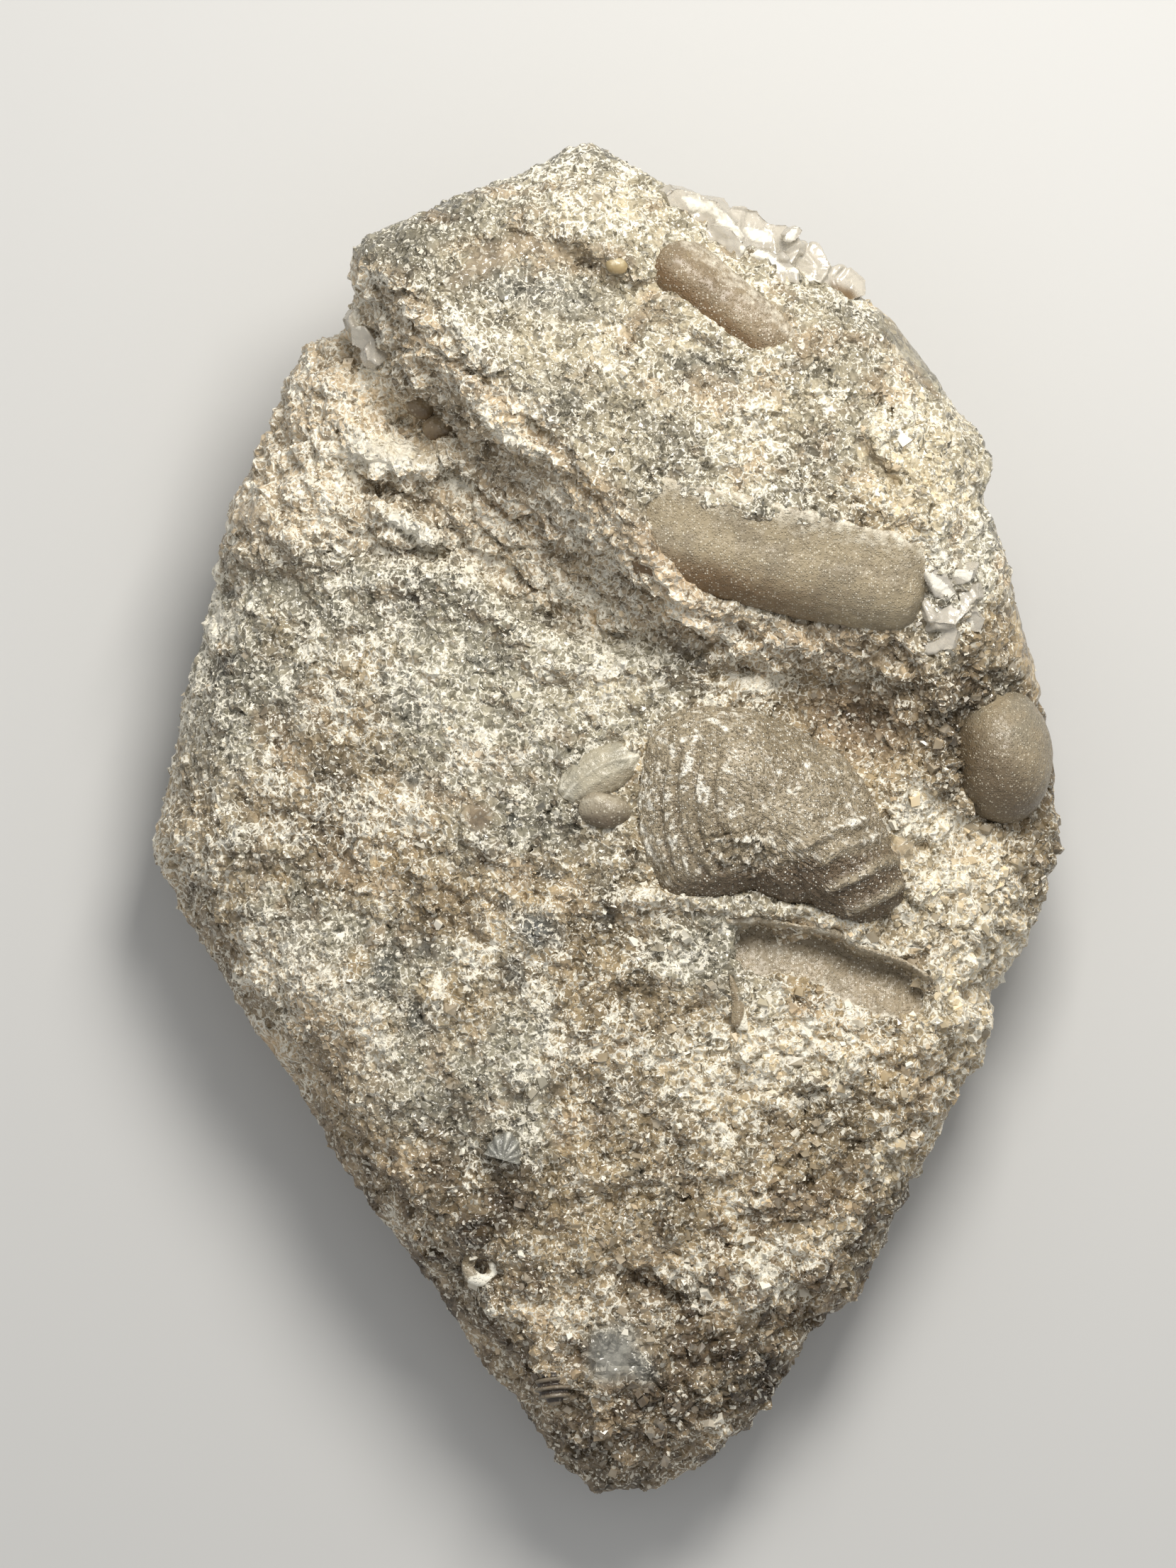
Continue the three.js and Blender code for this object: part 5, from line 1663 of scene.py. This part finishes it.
def makeCrumbs(look=limestoneLook):
    material, tree, place = startMaterial("calciteCrumbs")
    veil = clouds(tree, place, 1.5, 2, 0.6)
    frosted = painted(tree, "frosted")
    frost = calculate(tree, "ADD", frosted, scaled(tree, veil, 0.8, -0.4), clamp=True)
    colour = placeGroup(tree, stoneColour, Tone=painted(tree, "tone"), Frost=frost)["Color"]
    glossy, frosty = look["crumbGloss"]
    return finishMaterial(material, colour, scaled(tree, frost, frosty, glossy), IOR=1.6)


# Smooth pieces: two body colours, a deep one for aged parts and for painted shade on their shaded sides, and
# flecks that are partly painted glints. The height and the gloss are how far its sanding stands out, in
# millimetres, and its roughness.
smoothLooks = {
    "castLook": {
        "body": rgb(0.32, 0.265, 0.172), "cloud": rgb(0.235, 0.195, 0.13), "deep": rgb(0.15, 0.092, 0.042),
        "fleck": rgb(0.8, 0.75, 0.62), "fleckSize": 0.13, "flecks": 0.55, "height": 0.05, "gloss": 0.4,
    },
    "shieldLook": {
        "body": rgb(0.34, 0.285, 0.195), "cloud": rgb(0.25, 0.205, 0.135), "deep": rgb(0.12, 0.085, 0.05),
        "fleck": rgb(0.88, 0.84, 0.73), "fleckSize": 0.13, "flecks": 1.0, "height": 0.15, "gloss": 0.38,
    },
    "darkCastLook": {
        "body": rgb(0.3, 0.245, 0.16), "cloud": rgb(0.25, 0.215, 0.15), "deep": rgb(0.13, 0.095, 0.055),
        "fleck": rgb(0.72, 0.66, 0.52), "fleckSize": 0.12, "flecks": 0.6, "height": 0.05, "gloss": 0.36,
    },
    "mouldLook": {
        "body": rgb(0.36, 0.295, 0.2), "cloud": rgb(0.32, 0.27, 0.19), "deep": rgb(0.16, 0.12, 0.065),
        "fleck": rgb(0.88, 0.84, 0.72), "fleckSize": 0.13, "flecks": 0.7, "height": 0.06, "gloss": 0.42,
    },
    "greyShellLook": {
        "body": rgb(0.42, 0.38, 0.28), "cloud": rgb(0.35, 0.325, 0.25), "deep": rgb(0.24, 0.19, 0.12),
        "fleck": rgb(0.84, 0.8, 0.67), "fleckSize": 0.13, "flecks": 0.35, "height": 0.03, "gloss": 0.3,
    },
    "slateShellLook": {
        "body": rgb(0.22, 0.22, 0.19), "cloud": rgb(0.3, 0.29, 0.25), "deep": rgb(0.11, 0.105, 0.09),
        "fleck": rgb(0.7, 0.68, 0.6), "fleckSize": 0.12, "flecks": 0.5, "height": 0.03, "gloss": 0.25,
    },
    "brownBeadLook": {
        "body": rgb(0.34, 0.295, 0.215), "cloud": rgb(0.26, 0.22, 0.155), "deep": rgb(0.13, 0.1, 0.065),
        "fleck": rgb(0.78, 0.73, 0.59), "fleckSize": 0.15, "flecks": 0.5, "height": 0.03, "gloss": 0.35,
    },
    "paleBeadLook": {
        "body": rgb(0.26, 0.195, 0.115), "cloud": rgb(0.2, 0.15, 0.09), "deep": rgb(0.12, 0.08, 0.042),
        "fleck": rgb(0.8, 0.74, 0.6), "fleckSize": 0.2, "flecks": 0.25, "height": 0.02, "gloss": 0.25,
    },
    "amberLook": {
        "body": rgb(0.42, 0.335, 0.18), "cloud": rgb(0.34, 0.265, 0.14), "deep": rgb(0.3, 0.22, 0.11),
        "fleck": rgb(0.9, 0.84, 0.66), "fleckSize": 0.2, "flecks": 0.15, "height": 0.02, "gloss": 0.22,
    },
    "darkFragmentLook": {
        "body": rgb(0.2, 0.16, 0.11), "cloud": rgb(0.16, 0.13, 0.09), "deep": rgb(0.045, 0.033, 0.024),
        "fleck": rgb(0.6, 0.55, 0.45), "fleckSize": 0.14, "flecks": 0.3, "height": 0.03, "gloss": 0.35,
    },
}


# What all smooth pieces share: sizes, and where each effect starts and is full
smoothSkin = {
    "cloudSize": 2.2,
    "streakSize": 0.5,
    "cloudSpan": (0.4, 0.62),
    "ageAndShadeSpan": (0.05, 0.95),
    "dustSpan": (0.62, 1.15),
}


def makeSmooth(name, skin=smoothSkin):
    look = smoothLooks[name]
    material, tree, place = startMaterial(name)
    broad = clouds(tree, place, skin["cloudSize"], 4, 0.6)
    streaks = clouds(tree, place, skin["streakSize"], 3, 0.6)
    colour = mixed(tree, between(tree, broad, *skin["cloudSpan"]), look["body"], look["cloud"])
    age = scaled(tree, streaks, 0.5, calculate(tree, "SUBTRACT", painted(tree, "aged"), 0.25))
    colour = mixed(tree, between(tree, age, *skin["ageAndShadeSpan"]), colour, look["deep"])
    sparkle = placeGroup(tree, sandedSparkle, Vector=place, Size=look["fleckSize"])
    dusty = scaled(tree, streaks, 0.9, painted(tree, "frosted"))
    dust = between(tree, dusty, *skin["dustSpan"])
    white = calculate(tree, "MAXIMUM", times(tree, sparkle["Fleck"], look["flecks"]), dust)
    colour = mixed(tree, white, colour, look["fleck"])
    height = times(tree, sparkle["Height"], look["height"])
    roughness = scaled(tree, white, 0.25, look["gloss"])
    return finishMaterial(material, colour, roughness, height, IOR=1.55)


calciteLook = {
    "clear": rgb(0.78, 0.73, 0.63),
    "frost": rgb(0.8, 0.77, 0.68),
    "grey": rgb(0.52, 0.49, 0.41),
    "brown": rgb(0.3, 0.2, 0.1),
    "absorbs": rgb(0.86, 0.8, 0.68),
    "density": 60,
    "passes": 0.5,  # the share of light that goes in
    "IOR": 1.58,
    "veilSize": 0.6,
    "veilSpan": (0.45, 0.65),  # of the cloud, where the veil starts and is full
    "gloss": (0.08, 0.35),  # the roughness where it is clear, and what the veil adds
    "frostedGloss": (0.25, 0.4),
}


def makeCalcite(look=calciteLook):
    material, tree, place = startMaterial("clearCalcite")
    veil = between(tree, clouds(tree, place, look["veilSize"], 4, 0.65), *look["veilSpan"])
    colour = mixed(tree, painted(tree, "aged"), look["clear"], look["brown"])
    glossy, veiled = look["gloss"]
    roughness = scaled(tree, veil, veiled, glossy)
    height = times(tree, clouds(tree, place, 0.4, 3), 0.05)
    volume = addNode(tree, "VolumeAbsorption", {"Color": look["absorbs"], "Density": look["density"]})
    return finishMaterial(
        material, colour, roughness, height, volume.outputs[0],
        IOR=look["IOR"], Transmission_Weight=look["passes"],
    )


# Crystal broken or frosted through, so no light passes.
def makeFrosted(look=calciteLook):
    material, tree, place = startMaterial("frostedCalcite")
    veil = clouds(tree, place, 0.5, 4, 0.7)
    frost = scaled(tree, painted(tree, "frosted"), 0.3, veil)
    colour = mixed(tree, between(tree, frost, 0.5, 0.8), look["grey"], look["frost"])
    height = times(tree, clouds(tree, place, 0.3, 3), 0.08)
    glossy, veiled = look["frostedGloss"]
    return finishMaterial(material, colour, scaled(tree, veil, veiled, glossy), height, IOR=look["IOR"])


def settle(piece, material, slotName, *nodes):
    piece.data.materials.append(material)
    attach(piece, "root")
    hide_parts(*nodes)


settle(limestone, makeLimestone(), "limestone", "matrix_stone")
crumbLook = makeCrumbs()
for crumbs in grains:
    settle(modelGrains(crumbs, limestone), crumbLook, "limestone", "matrix_stone")
    print("scattered:", crumbs)

looks = {name: makeSmooth(name) for name in smoothLooks}
settle(modelTailShield(), looks["shieldLook"], "trilobite", "trilobite_tail")
settle(modelCast("longCast"), looks["castLook"], "smooth_cast", "long_smooth_cast")
settle(modelCast("upperCast"), looks["castLook"], "smooth_cast", "upper_smooth_cast")
settle(modelEdgeDome(), looks["darkCastLook"], "dark_cast", "edge_dome_cast")
settle(modelArchedShell(), looks["mouldLook"], "shell", "arched_shell")
settle(modelOvalShell(), looks["greyShellLook"], "shell", "small_oval_shell")
settle(modelBead("ovalBead"), looks["brownBeadLook"], "brown_bead", "oval_bead")
settle(modelBead("amberBead"), looks["amberLook"], "amber_bead", "amber_bead")
settle(modelBead("brownBeadUpper"), looks["paleBeadLook"], "brown_bead", "brown_bead_upper")
settle(modelBead("brownBeadLower"), looks["paleBeadLook"], "brown_bead", "brown_bead_lower")
settle(modelSliver(), looks["castLook"], "shell", "shell_sliver")
settle(modelRibbedFragment(), looks["darkFragmentLook"], "dark_fragment", "ribbed_fragment")
settle(modelFan(), looks["slateShellLook"], "grey_shell", "fan_shell")
settle(modelRing(), looks["mouldLook"], "dark_cast", "ring_fossil")
print("fossils placed")

leastFrost = 0.3  # with more frost than this, a face lets no light through
calcite, frostedCalcite = makeCalcite(), makeFrosted()
for name, node in (
    ("calciteCrust", "calcite_crust"),
    ("endCrystals", "end_crystals"),
    ("notchCrystals", "notch_crystals"),
):
    cluster = modelCluster(name)
    settle(cluster, calcite, "calcite", node)
    cluster.data.materials.append(frostedCalcite)
    frostOf = cluster.data.attributes["frosted"].data
    for polygon in cluster.data.polygons:
        polygon.material_index = int(frostOf[polygon.vertices[0]].value > leastFrost)
print("crystals placed")

# Floor, light and camera

studio = {
    "cameraOver": (-1.13, 2.30),  # where the camera looks straight down, in millimetres
    "cameraHeight": 1214,
    "tallOfView": 94.0,  # how tall a stretch it takes in, at this level above the floor
    "viewLevel": 14,
    "sensor": 36,
    "keyAt": (34, 104, 164),
    "keySize": 70,
    "keyPower": 0.385,
    "keyColour": (1.0, 0.965, 0.91),
    "worldStrength": 0.52,
    "floorSize": 8,
    "floorColour": rgb(0.56, 0.56, 0.55),
    "floorRoughness": 0.9,
}

deselectAll()
bpy.ops.mesh.primitive_plane_add(size=studio["floorSize"], location=(0, 0, 0))
floor = bpy.context.object
floor.name = "floor"
floorLook = finishMaterial(newMaterial("paleFloor"), studio["floorColour"], studio["floorRoughness"])
floor.data.materials.append(floorLook)

key = bpy.data.objects.new("keyLight", bpy.data.lights.new("keyLight", "AREA"))
bpy.context.scene.collection.objects.link(key)
key.data.energy = studio["keyPower"]
key.data.size = studio["keySize"] * mm
key.data.color = studio["keyColour"]
key.location = Vector(studio["keyAt"]) * mm
key.rotation_euler = key.location.to_track_quat("Z", "Y").to_euler()

world = bpy.data.worlds.new("studio")
bpy.context.scene.world = world
world.use_nodes = True
background = world.node_tree.nodes["Background"].inputs
background["Color"].default_value = rgb(1, 1, 1)
background["Strength"].default_value = studio["worldStrength"]

camera = bpy.data.objects.new("camera", bpy.data.cameras.new("camera"))
bpy.context.scene.collection.objects.link(camera)
bpy.context.scene.camera = camera
camera.location = (*(np.array(studio["cameraOver"]) * mm), studio["cameraHeight"] * mm)
camera.data.sensor_width = studio["sensor"]
cameraAway = studio["cameraHeight"] - studio["viewLevel"]
camera.data.lens = studio["sensor"] * cameraAway / studio["tallOfView"]
camera.data.clip_start = 0.05
camera.data.clip_end = 100
bpy.context.scene.view_settings.view_transform = "Standard"

print("finished")
